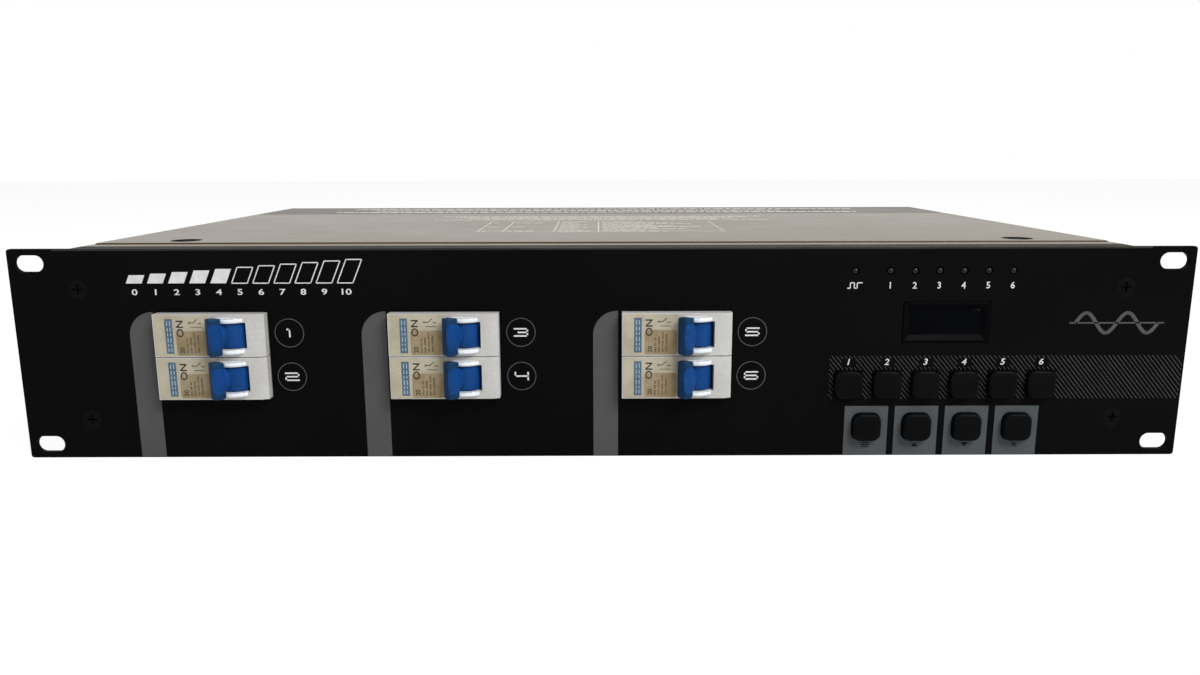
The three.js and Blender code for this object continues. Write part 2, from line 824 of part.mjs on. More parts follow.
// Breaker housing: a nose through the panel on a longer body that hooks on the rail
function breakerHousing() {
  const nose = noseLength / 2;
  const body = breakerLength / 2;
  const railHalf = railWidth / 2 + railHookGap;
  const hook = railWidth / 2 - railHookReach;
  const seatY = railFrontY - fitGap;
  const hookY = railFrontY + railSheet + railHookGap;
  const outline = polygon([
    [-nose, -noseProud],
    [nose - noseChamfer, -noseProud],
    [nose, noseChamferDepth - noseProud],
    [nose, breakerShoulderY],
    [body, breakerShoulderY],
    [body, breakerBackY],
    [hook, breakerBackY],
    [hook, hookY],
    [railHalf, hookY],
    [railHalf, seatY],
    [-railHalf, seatY],
    [-railHalf, hookY],
    [-hook, hookY],
    [-hook, breakerBackY],
    [-body, breakerBackY],
    [-body, breakerShoulderY],
    [-nose, breakerShoulderY],
  ]);
  const half = breakerWidth / 2;
  const slotHalf = leverDrumWidth / 2 + leverRunningGap;
  const cheeks = [
    [slotHalf, slotHalf + cheekThickness],
    [-slotHalf - cheekThickness, -slotHalf],
  ].map((span) => rod("z", cheekRadius, ...span, leverAxisX, leverAxisY));
  const drumRoom = rod(
    "z",
    leverDrumRadius + leverRunningGap,
    -slotHalf,
    slotHalf,
    leverAxisX,
    leverAxisY,
  );
  const mouth = block(
    [leverAxisX - leverSlotHalfLength, leverAxisX + leverSlotHalfLength],
    [leverAxisY - cheekRadius - cutOverrun, leverAxisY],
    [-slotHalf, slotHalf],
  );
  const pinReach = leverDrumWidth / 2 + leverPinReach + leverRunningGap;
  const pinRoom = rod(
    "z",
    leverPinRadius + leverRunningGap,
    -pinReach,
    pinReach,
    leverAxisX,
    leverAxisY,
    smallSides,
  );
  return without(joined([prism(outline, "z", -half, half), ...cheeks]), [
    drumRoom,
    mouth,
    pinRoom,
  ]);
}

// Breaker lever about its own pivot, leaning towards the label at rest, its grip slanted to face forward
function breakerLever() {
  const half = leverDrumWidth / 2;
  const neck = leverNeckThickness / 2;
  const grip = leverGripWidth / 2;
  const slanted = polygon([
    [-neck, -leverGripInner],
    [-neck, leverGripBlunt - leverGripOuter],
    [leverGripBlunt - neck, -leverGripOuter],
    [neck, leverGripSlope - leverGripOuter],
    [neck, -leverGripInner],
  ]);
  const upright = joined([
    rod("z", leverDrumRadius, -half, half),
    block([-neck, neck], [-leverGripInner - leverGripBevel, 0], [-half, half]),
    prism(slanted, "z", -grip, grip, 1, leverGripBevel),
    rod("z", leverPinRadius, -half - leverPinReach, half + leverPinReach, 0, 0, smallSides),
  ]);
  return upright.rotate([0, 0, -leverRestDegrees]);
}

// Frame on the tray floor with three vertical rails that the breakers hook on
function railFrame() {
  const plateFrontY = railFrontY + railDepth;
  const railTopZ = panelHeight - railEndMargin;
  const lowX = breakerColumns.at(0) - railWidth / 2 - railFrameOverhang;
  const highX = breakerColumns.at(-1) + railWidth / 2 + railFrameOverhang;
  const plate = block(
    [lowX, highX],
    [plateFrontY - railSheet / 2, plateFrontY + sheetThickness],
    [floorSeatZ, railTopZ],
  );
  const foot = block(
    [lowX, highX],
    [plateFrontY, plateFrontY + railFrameFootDepth],
    [floorSeatZ, floorSeatZ + sheetThickness],
  );
  const outer = railWidth / 2;
  const web = railWidth / 2 - railLip;
  const back = railFrontY + railDepth;
  const rails = breakerColumns.map((x) => {
    const hat = polygon([
      [x - outer, railFrontY],
      [x - web + railSheet, railFrontY],
      [x - web + railSheet, back - railSheet],
      [x + web - railSheet, back - railSheet],
      [x + web - railSheet, railFrontY],
      [x + outer, railFrontY],
      [x + outer, railFrontY + railSheet],
      [x + web, railFrontY + railSheet],
      [x + web, back],
      [x - web, back],
      [x - web, railFrontY + railSheet],
      [x - outer, railFrontY + railSheet],
    ]);
    return prism(hat, "z", railEndMargin, railTopZ);
  });
  return joined([plate, foot, ...rails]);
}

// Push button cap about the centre of its hole, with a skirt behind the panel and a stem into the switch
function buttonCap() {
  const skirtY = panelThickness + fitGap;
  const skirtBackY = skirtY + buttonSkirtThickness;
  const skirtSize = buttonSize + 2 * buttonSkirtOverlap + fitGap;
  const cap = prism(
    roundedRectangle(buttonSize, buttonSize, buttonCornerRadius),
    "y",
    -buttonProud,
    skirtBackY,
    1,
    buttonBevel,
  );
  const skirt = prism(
    roundedRectangle(skirtSize, skirtSize, buttonCornerRadius),
    "y",
    skirtY,
    skirtBackY,
  );
  const stem = rod("y", buttonStemRadius, 0, switchFaceY + buttonStemReach, 0, 0, smallSides);
  return joined([cap, skirt, stem]);
}

// Lamp about the centre of its hole: a domed lens, a rim and its spacer on the board
function statusLamp() {
  const shoulder = lampRadius * Math.SQRT1_2;
  return turned(
    [
      [0, -lampProud],
      [shoulder, lampRadius - shoulder - lampProud],
      [lampRadius, lampRadius - lampProud],
      [lampRadius, lampRimY],
      [lampRimRadius, lampRimY],
      [lampRimRadius, lampRimY + lampRimThickness],
      [lampLegRadius, lampRimY + lampRimThickness],
      [lampLegRadius, controlBoardY - fitGap],
      [0, controlBoardY - fitGap],
    ],
    smallSides,
  );
}

// Display window about its own centre: a frame that slopes in to a smoked lens, and a rim behind the panel
function displayWindow() {
  const halfWidth = displayWidth / 2;
  const halfHeight = displayHeight / 2;
  const rimY = panelThickness + fitGap;
  const lensBackY = displayLensDepth + displayLensThickness;
  const body = block(
    [-halfWidth, halfWidth],
    [0, lensBackY],
    [-halfHeight, halfHeight],
  );
  const rim = block(
    [-halfWidth - displayRimOverlap, halfWidth + displayRimOverlap],
    [rimY, rimY + displayRimThickness],
    [-halfHeight - displayRimOverlap, halfHeight + displayRimOverlap],
  );
  const slope = new THREE.BufferGeometry();
  const corners = [
    [halfWidth - displayFrameWidth / 2, halfHeight - displayFrameWidth / 2, -cutOverrun / 2],
    [halfWidth - 2 * displayFrameWidth, halfHeight - 2 * displayFrameWidth, displayLensDepth],
  ].flatMap(([w, h, y]) => [
    [-w, y, -h],
    [w, y, -h],
    [w, y, h],
    [-w, y, h],
  ]);
  slope.setAttribute("position", new THREE.Float32BufferAttribute(corners.flat(), 3));
  slope.setIndex([
    0, 1, 2, 0, 2, 3, 4, 6, 5, 4, 7, 6, 0, 5, 1, 0, 4, 5, 1, 6, 2, 1, 5, 6, 2, 7, 3, 2, 6, 7, 3, 4,
    0, 3, 7, 4,
  ]);
  return body.add(rim).subtract(solidOf(slope));
}

// Control board with the switches under the buttons and the display module under the window
function controlBoard() {
  const board = block(
    [controlBoardX, controlBoardX + controlBoardWidth],
    [controlBoardY, controlBoardY + boardThickness],
    [controlBoardEndMargin, panelHeight - controlBoardEndMargin],
  );
  const half = switchSize / 2;
  const inBoard = controlBoardY + boardThickness / 2;
  const switches = Object.values(buttonPlaces).map(([x, z]) =>
    block([x - half, x + half], [switchFaceY, inBoard], [z - half, z + half]),
  );
  const wells = Object.values(buttonPlaces).map(([x, z]) =>
    rod(
      "y",
      buttonStemRadius + buttonStemGap,
      switchFaceY - cutOverrun,
      switchFaceY + switchHoleDepth,
      x,
      z,
      smallSides,
    ),
  );
  const moduleFrontY =
    panelThickness + fitGap + displayRimThickness + displayModuleGap;
  const display = block(
    [displayX - displayModuleHalfWidth, displayX + displayModuleHalfWidth],
    [moduleFrontY, inBoard],
    [displayZ - displayModuleHalfHeight, displayZ + displayModuleHalfHeight],
  );
  return without(joined([board, ...switches, display]), wells);
}

// Power board with six switching devices at its rear edge, the supply transformer and terminals
function powerBoard() {
  const top = sheetThickness + standoffHeight + fitGap + boardThickness;
  const inBoard = top - boardThickness / 2;
  const backY = powerBoardY + powerBoardDepth;
  const board = block(
    [powerBoardX, powerBoardRight],
    [powerBoardY, backY],
    [top - boardThickness, top],
  );
  const devices = channels.map((channel) => {
    const x = powerBoardX + (channel + 0.5) * powerCell;
    return block(
      [x - deviceWidth / 2, x + deviceWidth / 2],
      [backY - deviceThickness, backY],
      [inBoard, top + deviceHeight],
    );
  });
  const terminals = channels.map((channel) => {
    const x = powerBoardX + (channel + 0.5) * powerCell;
    return block(
      [x - terminalWidth / 2, x + terminalWidth / 2],
      [powerBoardY, powerBoardY + terminalDepth],
      [inBoard, top + terminalHeight],
    );
  });
  const transformerX = powerBoardX + powerBoardWidth / 2;
  const transformerY = powerBoardY + powerBoardDepth / 2;
  const transformer = block(
    [transformerX - transformerWidth / 2, transformerX + transformerWidth / 2],
    [transformerY - transformerDepth / 2, transformerY + transformerDepth / 2],
    [inBoard, top + transformerHeight],
  );
  return joined([board, ...devices, ...terminals, transformer]);
}

// Heat sink: an upright plate against the devices, with fins to the rear
function heatSink() {
  const along = [powerBoardX, powerBoardRight];
  const plate = block(
    along,
    [heatSinkY, heatSinkY + heatSinkBase],
    [floorSeatZ, floorSeatZ + heatSinkHeight],
  );
  const fins = Array.from({ length: finCount }, (_, fin) => {
    const z = floorSeatZ + (fin * (heatSinkHeight - finThickness)) / (finCount - 1);
    return block(along, [heatSinkY, heatSinkY + heatSinkDepth], [z, z + finThickness]);
  });
  return joined([plate, ...fins]);
}

// Choke: a wound ring lying flat, about the Z axis
function choke() {
  const low = chokeRound;
  const high = chokeHeight - chokeRound;
  const outline = polygon([
    [chokeInnerRadius + chokeRound, 0],
    [chokeOuterRadius - chokeRound, 0],
    [chokeOuterRadius, low],
    [chokeOuterRadius, high],
    [chokeOuterRadius - chokeRound, chokeHeight],
    [chokeInnerRadius + chokeRound, chokeHeight],
    [chokeInnerRadius, high],
    [chokeInnerRadius, low],
  ]);
  const points = outline.getPoints();
  const ring = new THREE.LatheGeometry([...points, points[0]], chokeSides);
  ring.rotateX(Math.PI / 2);
  return solidOf(ring);
}

// Fan, about its own axis along X: the frame's outer face is at zero and the frame lies towards -X
function fanFrame() {
  const shell = prism(roundedRectangle(fanSize, fanSize, fanCornerRadius), "x", -fanDepth, 0).subtract(
    rod("x", fanBoreRadius, -fanDepth - cutOverrun, cutOverrun),
  );
  const motorBack = -fanDepth;
  const motorFront = motorBack + fanMotorThickness;
  const motor = rod("x", fanMotorRadius, motorBack, motorFront);
  const reach = fanBoreRadius + cutOverrun;
  const struts = Array.from({ length: fanStrutCount / 2 }, (_, pair) => {
    const bar = block(
      [motorBack, motorFront],
      [-reach, reach],
      [-fanStrutWidth / 2, fanStrutWidth / 2],
    );
    return bar.rotate([45 + (pair * 360) / fanStrutCount, 0, 0]);
  });
  const shaft = rod("x", fanShaftRadius, motorBack, motorFront + fanShaftReach, 0, 0, smallSides);
  return joined([shell, motor, ...struts, shaft]);
}

function fanRotor() {
  const backX = -fanDepth + fanMotorThickness + fanRotorGap;
  const frontX = -fanRotorInset;
  const tip = fanBoreRadius - fanTipGap;
  const hub = rod("x", fanHubRadius, backX, frontX);
  const middleX = (backX + frontX) / 2;
  const blades = Array.from({ length: fanBladeCount }, (_, blade) => {
    const flat = block(
      [-fanBladeThickness / 2, fanBladeThickness / 2],
      [-fanBladeChord / 2, fanBladeChord / 2],
      [fanHubRadius / 2, fanBoreRadius],
    );
    return flat
      .rotate([0, 0, fanBladeDegrees])
      .translate([middleX, 0, 0])
      .rotate([(blade * 360) / fanBladeCount, 0, 0]);
  });
  const bore = rod(
    "x",
    fanShaftRadius + leverRunningGap,
    backX - cutOverrun,
    -fanDepth + fanMotorThickness + fanShaftReach + fanRotorGap,
    0,
    0,
    smallSides,
  );
  const sweep = rod("x", tip, backX, frontX);
  return joined([hub, ...blades]).intersect(sweep).subtract(bore);
}

// Mains outlet about its own centre, with its flange on the rear panel: a round recess with two pin holes
function outletPlaces() {
  return channels.map((channel) => [outletX + channel * outletPitch, panelMiddleZ]);
}

function mainsOutlet() {
  const face = fitGap + outletFlange;
  const floorY = face - outletRecessDepth;
  const flange = prism(
    roundedRectangle(outletSize, outletSize, outletCornerRadius),
    "y",
    fitGap,
    face,
  );
  const body = rod("y", outletBodyRadius, -outletBodyDepth, face - outletFlange / 2);
  const recess = rod("y", outletRecessRadius, floorY, face + cutOverrun);
  const pinX = outletPinSpacing / 2;
  const pinHoles = [-pinX, pinX].map((x) =>
    rod("y", outletPinRadius, floorY - outletPinDepth, face, x, 0, smallSides),
  );
  const clips = [1, -1].map((side) => {
    const near = side * (outletRecessRadius - outletClipThickness);
    const far = side * (outletRecessRadius + outletClipThickness / 2);
    return block(
      [-outletClipWidth / 2, outletClipWidth / 2],
      [floorY, floorY + outletClipLength],
      [near, far].sort((a, b) => a - b),
    );
  });
  return joined([without(flange.add(body), [recess, ...pinHoles]), ...clips]);
}

// Data sockets: the input has three pins in a cup, the output has three holes in a core
function dataSocketPlaces() {
  return [
    [dataSocketX, panelMiddleZ + dataSocketLift],
    [dataSocketX, panelMiddleZ - dataSocketLift],
  ];
}

function dataPinPlaces() {
  return [90, 210, 330].map((degrees) => {
    const angle = THREE.MathUtils.degToRad(degrees);
    return [dataPinCircleRadius * Math.cos(angle), dataPinCircleRadius * Math.sin(angle)];
  });
}

function dataSocketShell() {
  const face = fitGap + dataFlangeThickness;
  const flange = prism(
    roundedRectangle(dataFlangeWidth, dataFlangeHeight, dataFlangeCornerRadius),
    "y",
    fitGap,
    face,
  );
  const body = rod("y", dataBodyRadius, -dataBodyDepth, face);
  const cup = rod("y", dataCupRadius, face - dataCupDepth, face + cutOverrun);
  return flange.add(body).subtract(cup);
}

function dataInputSocket() {
  const floorY = fitGap + dataFlangeThickness - dataCupDepth;
  const pins = dataPinPlaces().map(([x, z]) =>
    rod("y", dataPinRadius, floorY - dataPinRadius, floorY + dataPinLength, x, z, smallSides),
  );
  return joined([dataSocketShell(), ...pins]);
}

function dataOutputSocket() {
  const face = fitGap + dataFlangeThickness;
  const floorY = face - dataCupDepth;
  const core = rod("y", dataCoreRadius, floorY - dataPinRadius, face);
  const holes = dataPinPlaces().map(([x, z]) =>
    rod("y", dataHoleRadius, face - dataPinLength, face + cutOverrun, x, z, smallSides),
  );
  return dataSocketShell().add(without(core, holes));
}

// Mains gland: a hexagonal base and a domed cap outside, a nut inside, and a clear bore for the cable
function mainsGland() {
  const hexStart = fitGap;
  const hexEnd = hexStart + glandHexLength;
  const capEnd = hexEnd + glandCapLength;
  const nutFront = -sheetThickness - glandNutGap;
  const nutBack = nutFront - glandNutLength;
  const hexagon = (from, to) => rod("y", glandHexRadius, from, to, 0, 0, 6);
  const cap = rod("y", glandCapRadius, hexEnd - glandCapRound, capEnd - glandCapRound).add(
    frustum(
      glandCapRadius,
      glandCapRadius - glandCapRound,
      capEnd - glandCapRound,
      capEnd,
      "y",
      [0, 0],
    ),
  );
  const thread = rod("y", glandThreadRadius, nutBack - glandNutGap, hexEnd);
  const bore = rod("y", glandBoreRadius, nutBack - cutOverrun, capEnd + cutOverrun);
  return joined([hexagon(hexStart, hexEnd), cap, thread, hexagon(nutBack, nutFront)]).subtract(bore);
}

// The assembly, with the panel's face at Y zero and the floor at Z zero
const unit = new THREE.Group();
addPiece(unit, "front_panel", geometryOf(frontPanel()), blackPanelPaint);
addPiece(unit, "chassis_tray", geometryOf(chassisTray()), darkCoverPaint);
addPiece(unit, "top_cover", geometryOf(topCover()), darkCoverPaint);
addPiece(
  unit,
  "terminal_cover",
  geometryOf(coverSheet(dividerY + coverSeamGap / 2, rearFaceY)),
  darkCoverPaint,
);
addPiece(unit, "rear_panel", geometryOf(rearPanel()), darkCoverPaint);
addPiece(unit, "rail_frame", geometryOf(railFrame()), zincSteel);
addPiece(unit, "control_board", geometryOf(controlBoard()), greenBoard);
addPiece(unit, "power_board", geometryOf(powerBoard()), greenBoard);
addPiece(unit, "heat_sink", geometryOf(heatSink()), bareAluminium);
addPiece(unit, "display_window", geometryOf(displayWindow()), smokedPlastic, [
  displayX,
  0,
  displayZ,
]);

const screwGeometry = geometryOf(panelScrew());
panelScrewPlaces.forEach(([x, z], index) => {
  addPiece(unit, `panel_screw_${index + 1}`, screwGeometry, blackScrewSteel, [x, 0, z]);
});

const housingGeometry = geometryOf(breakerHousing());
const leverGeometry = geometryOf(breakerLever());
breakerPlaces.forEach(([x, z], channel) => {
  const breaker = new THREE.Group();
  breaker.position.set(x, 0, z);
  addPiece(breaker, `breaker_${channel + 1}`, housingGeometry, creamPlastic);
  addPiece(breaker, `breaker_lever_${channel + 1}`, leverGeometry, blueLeverPlastic, [
    leverAxisX,
    leverAxisY,
    0,
  ]);
  unit.add(breaker);
});

const capGeometry = geometryOf(buttonCap());
Object.entries(buttonPlaces).forEach(([name, [x, z]]) => {
  addPiece(unit, name, capGeometry, blackButtonPlastic, [x, 0, z]);
});

const lampGeometry = geometryOf(statusLamp());
Object.entries(lampPlaces).forEach(([name, [x, z]]) => {
  addPiece(unit, name, lampGeometry, clearLampPlastic, [x, 0, z]);
});

const chokeGeometry = geometryOf(choke());
channels.forEach((channel) => {
  addPiece(unit, `choke_${channel + 1}`, chokeGeometry, copperWinding, [
    powerBoardX + (channel + 0.5) * powerCell,
    chokeY,
    floorSeatZ,
  ]);
});

const fan = new THREE.Group();
fan.position.set(trayInsideX - fitGap, fanCentreY, fanCentreZ);
addPiece(fan, "fan_frame", geometryOf(fanFrame()), darkMoulding);
addPiece(fan, "fan_rotor", geometryOf(fanRotor()), darkMoulding);
unit.add(fan);

const rear = new THREE.Group();
rear.position.set(0, rearFaceY, 0);
const outletGeometry = geometryOf(mainsOutlet());
outletPlaces().forEach(([x, z], channel) => {
  addPiece(rear, `outlet_${channel + 1}`, outletGeometry, darkMoulding, [x, 0, z]);
});
const [inputPlace, outputPlace] = dataSocketPlaces();
addPiece(rear, "data_input_socket", geometryOf(dataInputSocket()), zincSteel, [
  inputPlace[0],
  0,
  inputPlace[1],
]);
addPiece(rear, "data_output_socket", geometryOf(dataOutputSocket()), zincSteel, [
  outputPlace[0],
  0,
  outputPlace[1],
]);
addPiece(rear, "mains_gland", geometryOf(mainsGland()), darkMoulding, [glandX, 0, panelMiddleZ]);
unit.add(rear);

// The frame's origin is the middle of the underside of the whole unit, levers and gland included
const reach = new THREE.Box3().setFromObject(unit);
unit.position.y = -(reach.min.y + reach.max.y) / 2;
const dimmerPack = new THREE.Group();
dimmerPack.add(unit);

export default dimmerPack;
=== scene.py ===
"""Looks of a six-channel stage dimmer pack for a 19-inch rack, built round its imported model.

Each class makes one sub-assembly: the flanged front panel with its print, the circuit breakers, the
buttons and lamps, the display, the case, the sockets at the rear and the parts inside. Lengths are
millimetres from the panel's front face (x to the right, y to the rear, z up) until a piece is done,
and metres in Blender.
"""

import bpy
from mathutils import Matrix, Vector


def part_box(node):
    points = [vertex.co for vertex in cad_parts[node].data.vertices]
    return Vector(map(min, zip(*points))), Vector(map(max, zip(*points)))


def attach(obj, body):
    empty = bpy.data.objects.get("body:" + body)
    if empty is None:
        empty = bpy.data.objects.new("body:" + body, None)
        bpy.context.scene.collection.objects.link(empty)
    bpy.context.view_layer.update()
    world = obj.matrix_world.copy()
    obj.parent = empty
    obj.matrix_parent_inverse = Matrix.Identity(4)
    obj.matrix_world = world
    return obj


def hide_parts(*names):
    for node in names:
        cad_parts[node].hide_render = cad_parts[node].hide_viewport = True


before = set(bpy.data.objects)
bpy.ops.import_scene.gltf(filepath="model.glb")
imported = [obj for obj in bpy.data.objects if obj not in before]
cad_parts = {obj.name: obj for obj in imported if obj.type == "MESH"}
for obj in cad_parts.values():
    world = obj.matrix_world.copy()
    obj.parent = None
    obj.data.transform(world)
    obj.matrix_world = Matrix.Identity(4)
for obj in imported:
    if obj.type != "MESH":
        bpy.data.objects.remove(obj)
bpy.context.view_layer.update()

import logging
import math
from dataclasses import dataclass, field
from enum import Enum
from typing import Any, Iterable, Mapping, Sequence

import bmesh
import bpy
from mathutils import Matrix, Vector

MM = 0.001
FRONT_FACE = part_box("front_panel")[0].y
CHASSIS = "chassis"
CHANNELS = range(1, 7)

# Print stands this far out of its surface and reaches this far behind it
SKIN = 0.04
PRINT_BACK = -0.05
# The built-in font's digit height, and how much its strokes are thickened
DIGIT_HEIGHT = 0.685
DIGIT_BOLDNESS = 0.014
# Strokes of the squared digits: left, lower, right and upper end, as shares of reach and rise
SQUARE_DIGITS = {
    1: ((-0.3, 1, 0.05, 1), (0.05, -1, 0.05, 1)),
    2: ((-1, 1, 1, 1), (1, 0, 1, 1), (-1, 0, 1, 0), (-1, -1, -1, 0), (-1, -1, 1, -1)),
    3: ((-1, 1, 1, 1), (1, -1, 1, 1), (-0.4, 0, 1, 0), (-1, -1, 1, -1)),
    4: ((-1, 0, -1, 1), (-1, 0, 1, 0), (1, -1, 1, 1)),
    5: ((-1, 1, 1, 1), (-1, 0, -1, 1), (-1, 0, 1, 0), (1, -1, 1, 0), (-1, -1, 1, -1)),
    6: ((-1, 1, 1, 1), (-1, -1, -1, 1), (-1, 0, 1, 0), (1, -1, 1, 0), (-1, -1, 1, -1)),
}
LOG = logging.getLogger("dimmer_pack")

Colour = tuple[float, float, float]
Point = tuple[float, float]
Quad = tuple[float, float, float, float]
Ring = list[tuple[float, float, float]]
Socket = bpy.types.NodeSocket


class Side(Enum):
    """A face of the case: its right, up and outward directions as seen by someone facing it."""

    FRONT = ((1, 0, 0), (0, 0, 1), (0, -1, 0))
    REAR = ((-1, 0, 0), (0, 0, 1), (0, 1, 0))
    TOP = ((1, 0, 0), (0, 1, 0), (0, 0, 1))
    LEFT = ((0, -1, 0), (0, 0, 1), (-1, 0, 0))
    RIGHT = ((0, 1, 0), (0, 0, 1), (1, 0, 0))

    def at(self, x: float, y: float, z: float) -> Matrix:
        """Gives the matrix from coordinates on this face, with its zero at a place, to the panel's.

        Args:
            x: The place, to the right.
            y: The place, to the rear.
            z: The place, upwards.

        Returns:
            The matrix.
        """
        right, up, out = self.value
        columns = Matrix((right, up, out)).transposed().to_4x4()
        return Matrix.Translation((x, y, z)) @ columns


class Pattern(Enum):
    """What a finish shows besides its grain and blotches."""

    PLAIN = "plain"
    BRUSHED = "brushed"
    SCUFFED = "scuffed"
    WOUND = "wound"
    TRACKS = "tracks"


# Shader node groups and finishes


@dataclass
class Graph:
    """A node tree with short ways to add and join its nodes."""

    tree: bpy.types.NodeTree

    def add(self, kind: str, inputs: Mapping[Any, Any] | None = None, **settings: Any) -> bpy.types.Node:
        """Adds one node.

        Args:
            kind: The node's Blender type.
            inputs: Values or sockets for its inputs, by name or number.
            **settings: Values for its own properties.

        Returns:
            The new node.
        """
        node = self.tree.nodes.new(kind)
        for name, value in settings.items():
            setattr(node, name, value)
        for key, value in (inputs or {}).items():
            self.set(node, key, value)
        return node

    def set(self, node: bpy.types.Node, key: Any, value: Any) -> None:
        """Links a socket to a node's input, or writes a value there.

        Args:
            node: The node.
            key: The input's name or number.
            value: The socket or the value.
        """
        if isinstance(value, Socket):
            self.tree.links.new(value, node.inputs[key])
        elif isinstance(value, tuple) and node.inputs[key].type == "RGBA":
            node.inputs[key].default_value = (*value[:3], 1.0)
        else:
            node.inputs[key].default_value = value

    def math(self, operation: str, first: Any, second: Any = 0.0, third: Any = 0.0) -> Socket:
        """Adds a Math node and returns its output."""
        node = self.add("ShaderNodeMath", {0: first, 1: second, 2: third}, operation=operation)
        return node.outputs[0]

    def mix(self, factor: Any, first: Any, second: Any) -> Socket:
        """Adds a colour Mix node and returns its output."""
        node = self.add("ShaderNodeMix", {0: factor, 6: first, 7: second}, data_type="RGBA")
        return node.outputs[2]

    def ramp(self, value: Socket, low: float, high: float) -> Socket:
        """Spreads a value from low to high smoothly over 0 to 1, and returns the result."""
        inputs = {0: value, 1: low, 2: high}
        return self.add("ShaderNodeMapRange", inputs, interpolation_type="SMOOTHSTEP").outputs[0]

    def place(self) -> Socket:
        """Adds the object coordinates and returns them."""
        return self.add("ShaderNodeTexCoord").outputs["Object"]

    def stretched(self, scale: Sequence[float], turn: float = 0.0) -> Socket:
        """Adds object coordinates that are turned about Y and Z and scaled, and returns them."""
        inputs = {0: self.place(), 2: (0.0, turn, turn), 3: tuple(scale)}
        return self.add("ShaderNodeMapping", inputs).outputs[0]

    def noise(self, place: Socket, scale: Any, detail: float = 3.0) -> Socket:
        """Adds a noise texture and returns its value."""
        inputs = {"Vector": place, "Scale": scale, "Detail": detail, "Roughness": 0.55}
        return self.add("ShaderNodeTexNoise", inputs).outputs[0]


